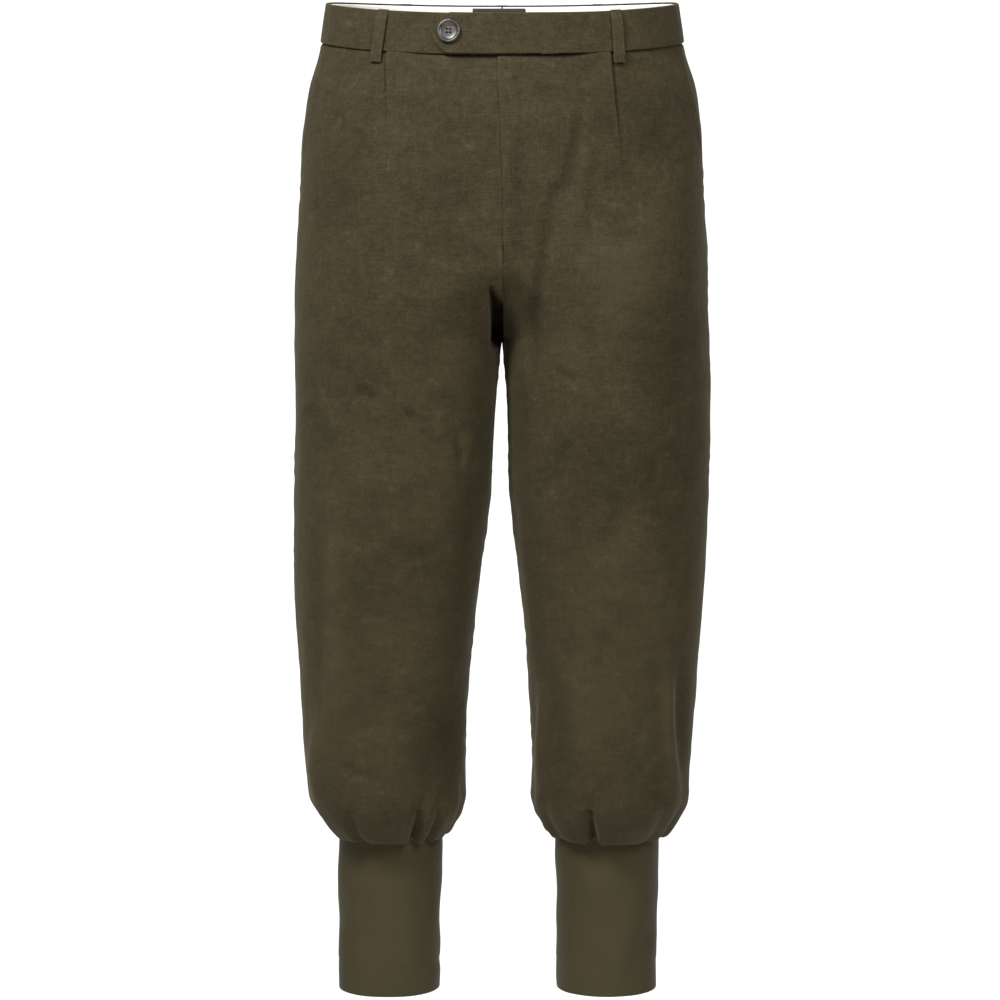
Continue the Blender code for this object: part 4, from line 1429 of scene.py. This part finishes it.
class BREECHES_OT_stitches(bpy.types.Operator):
    """Sews the belt loops, the fly, the buttonhole, the bar tacks and the button"""

    bl_idname = "breeches.stitches"
    bl_label = "Stitches"

    def execute(self, context):
        own = settings().stitches
        material = finish_of("sewing_thread", thread)
        running, tube = stitch_tree(), tube_tree()
        numbers = {"Space": own.space, "Stitch": own.stitch, "Thread": own.thread}
        share = np.linspace(0.02, 0.98, 40)
        rows = []
        for loop in LOOPS:
            for across in (-3.35, 3.35):
                rows.append(loop_place(loop, share, across, sink=0.28 * MM)[0])
        sewn("loop_stitching", rows, running, numbers, material)
        front = bpy.data.objects["front_left_cloth"]
        z = np.linspace(-60, -206, 60) * MM
        x = mix(8.0, 11.2, (z / MM + 60) / -146) * MM
        rows = [laid_on(front, list(zip(x, z)), 0.16 * MM)]
        sewn("fly_stitching", rows, running, numbers, material)
        tack = zigzag((3 * MM, -210.5 * MM), (14 * MM, -209 * MM), 1.6 * MM, 0.35 * MM)
        tacks = [laid_on(front, tack, 0.05 * MM)]
        band = bpy.data.objects["waistband_left_cloth"]
        place, turned = button_frame()
        inner, outer, end = -24.6 * MM, -34.9 * MM, -24.7 * MM  # the buttonhole, along X
        for dz in (-1.15, 1.15):
            side = place.z + dz * MM
            line = zigzag((outer, side), (inner, side), 1.3 * MM, 0.3 * MM)
            tacks.append(laid_on(band, line, 0.02 * MM))
        bar = zigzag((end, place.z - 1.7 * MM), (end, place.z + 1.7 * MM), 1.4 * MM, 0.3 * MM)
        tacks.append(laid_on(band, bar))
        sewn("tacks_and_buttonhole", tacks, tube, {"Thread": own.thread * 0.75}, material)
        dark = finish_of("label_tape", tape)
        # A dark tube along the buttonhole stands in for the shade inside its slit: painted shade.
        slit = [laid_on(band, [(x * MM, place.z) for x in np.linspace(-34.6, -25.4, 12)])]
        sewn("buttonhole_painted_shade", slit, tube, {"Thread": 0.9 * MM}, dark)
        strands = []
        for y in (-HOLE_AT, HOLE_AT):
            for lift in (0.0, 0.35):
                strand = []
                for i in range(13):
                    t = i / 12
                    arch = 1.0 + 1.1 * math.sin(math.pi * t) ** 0.6
                    across = mix(-HOLE_AT, HOLE_AT, t)
                    point = Vector((across * MM, (y + lift - 0.17) * MM, arch * MM))
                    strand.append(place + turned @ point)
                strands.append(strand)
        sewn("button_thread", strands, tube, {"Thread": 0.3 * MM}, dark)
        return {"FINISHED"}


def studio_floor():
    """A pale floor that bends up into a backdrop behind the breeches."""
    paper = Finish("studio_paper")
    pale = paper.mixed(paper.noise(0.4, 2, 0.5), (0.90, 0.90, 0.90), (0.93, 0.93, 0.93))
    paper.finish(Base_Color=pale, Roughness=0.95, Specular_IOR_Level=0.0)
    half, floor_z, back_y, bend, top = 7.0, -1.5, 4.0, 1.6, 5.0
    profile = [(-half, floor_z), (back_y - bend, floor_z)]
    for i in range(1, 13):
        a = math.pi / 2 * i / 12
        profile.append((back_y - bend + bend * math.sin(a), floor_z + bend * (1 - math.cos(a))))
    profile.append((back_y, top))
    bm = bmesh.new()
    lines = [[bm.verts.new((x, y, z)) for y, z in profile] for x in (-half, half)]
    for i in range(len(profile) - 1):
        bm.faces.new((lines[0][i], lines[1][i], lines[1][i + 1], lines[0][i + 1]))
    mesh = mesh_of("studio_floor", bm)
    mesh.shade_smooth()
    mesh.materials.append(paper.material)
    in_scene("studio_floor", mesh)


def aimed(name, data, place, aim):
    """A lamp or camera at a place, turned towards its aim."""
    holder = in_scene(name, data)
    holder.location = place
    holder.rotation_euler = (Vector(aim) - Vector(place)).to_track_quat("-Z", "Y").to_euler()
    return holder


# The studio's square lamps, in metres and watts.
Lamp = namedtuple("Lamp", "name place aim size power")
BREECHES_MIDDLE = (0, 0, -0.44)
LAMPS = [
    Lamp("key", (-0.8, -1.25, 1.02), BREECHES_MIDDLE, 0.5, 43.5),
    Lamp("fill", (0.9, -2.1, 1.0), BREECHES_MIDDLE, 0.8, 38.0),
    Lamp("floor", (0.0, 2.5, 2.7), (0, 3.5, -0.9), 2.6, 135.0),
]


def studio_light():
    world = bpy.data.worlds.new("studio_air")
    bpy.context.scene.world = world
    world.use_nodes = True
    air = world.node_tree.nodes["Background"]
    air.inputs["Color"].default_value = (1, 1, 1, 1)
    air.inputs["Strength"].default_value = 0.19
    bpy.context.scene.view_settings.view_transform = "Standard"
    for lamp in LAMPS:
        light = bpy.data.lights.new(f"studio_{lamp.name}", "AREA")
        light.shape, light.size, light.energy = "SQUARE", lamp.size, lamp.power
        aimed(f"studio_{lamp.name}", light, lamp.place, lamp.aim)


class BREECHES_OT_stage(bpy.types.Operator):
    """Makes the plain pale floor, the soft studio light and the camera"""

    bl_idname = "breeches.stage"
    bl_label = "Stage"

    def execute(self, context):
        studio_floor()
        studio_light()
        lens = bpy.data.cameras.new("studio_camera")
        lens.sensor_width = 36.0
        lens.lens = 104.4
        lens.clip_end = 50.0
        context.scene.camera = aimed(
            "studio_camera", lens, (-0.001, -2.6, -0.266), (-0.001, 0.0, -0.4428)
        )
        return {"FINISHED"}


class BREECHES_PT_panel(bpy.types.Panel):
    """Lists the pieces of the breeches"""

    bl_idname = "BREECHES_PT_panel"
    bl_label = "Knee breeches"
    bl_space_type = "VIEW_3D"
    bl_region_type = "UI"
    bl_category = "Breeches"

    def draw(self, context):
        for operator in OPERATORS:
            self.layout.operator(operator.bl_idname)


OPERATORS = (
    BREECHES_OT_panels,
    BREECHES_OT_cuffs,
    BREECHES_OT_waistband,
    BREECHES_OT_lining,
    BREECHES_OT_loops,
    BREECHES_OT_button,
    BREECHES_OT_stitches,
    BREECHES_OT_stage,
)
CLASSES = (
    BreechesPanels,
    BreechesWaist,
    BreechesCuffs,
    BreechesButton,
    BreechesStitches,
    BreechesSettings,
    *OPERATORS,
    BREECHES_PT_panel,
)


def register():
    for each in CLASSES:
        bpy.utils.register_class(each)
    bpy.types.Scene.breeches = bpy.props.PointerProperty(type=BreechesSettings)


def unregister():
    del bpy.types.Scene.breeches
    for each in reversed(CLASSES):
        bpy.utils.unregister_class(each)


def main():
    register()
    for operator in OPERATORS:
        family, name = operator.bl_idname.split(".")
        getattr(getattr(bpy.ops, family), name)()


if __name__ == "__main__":
    main()
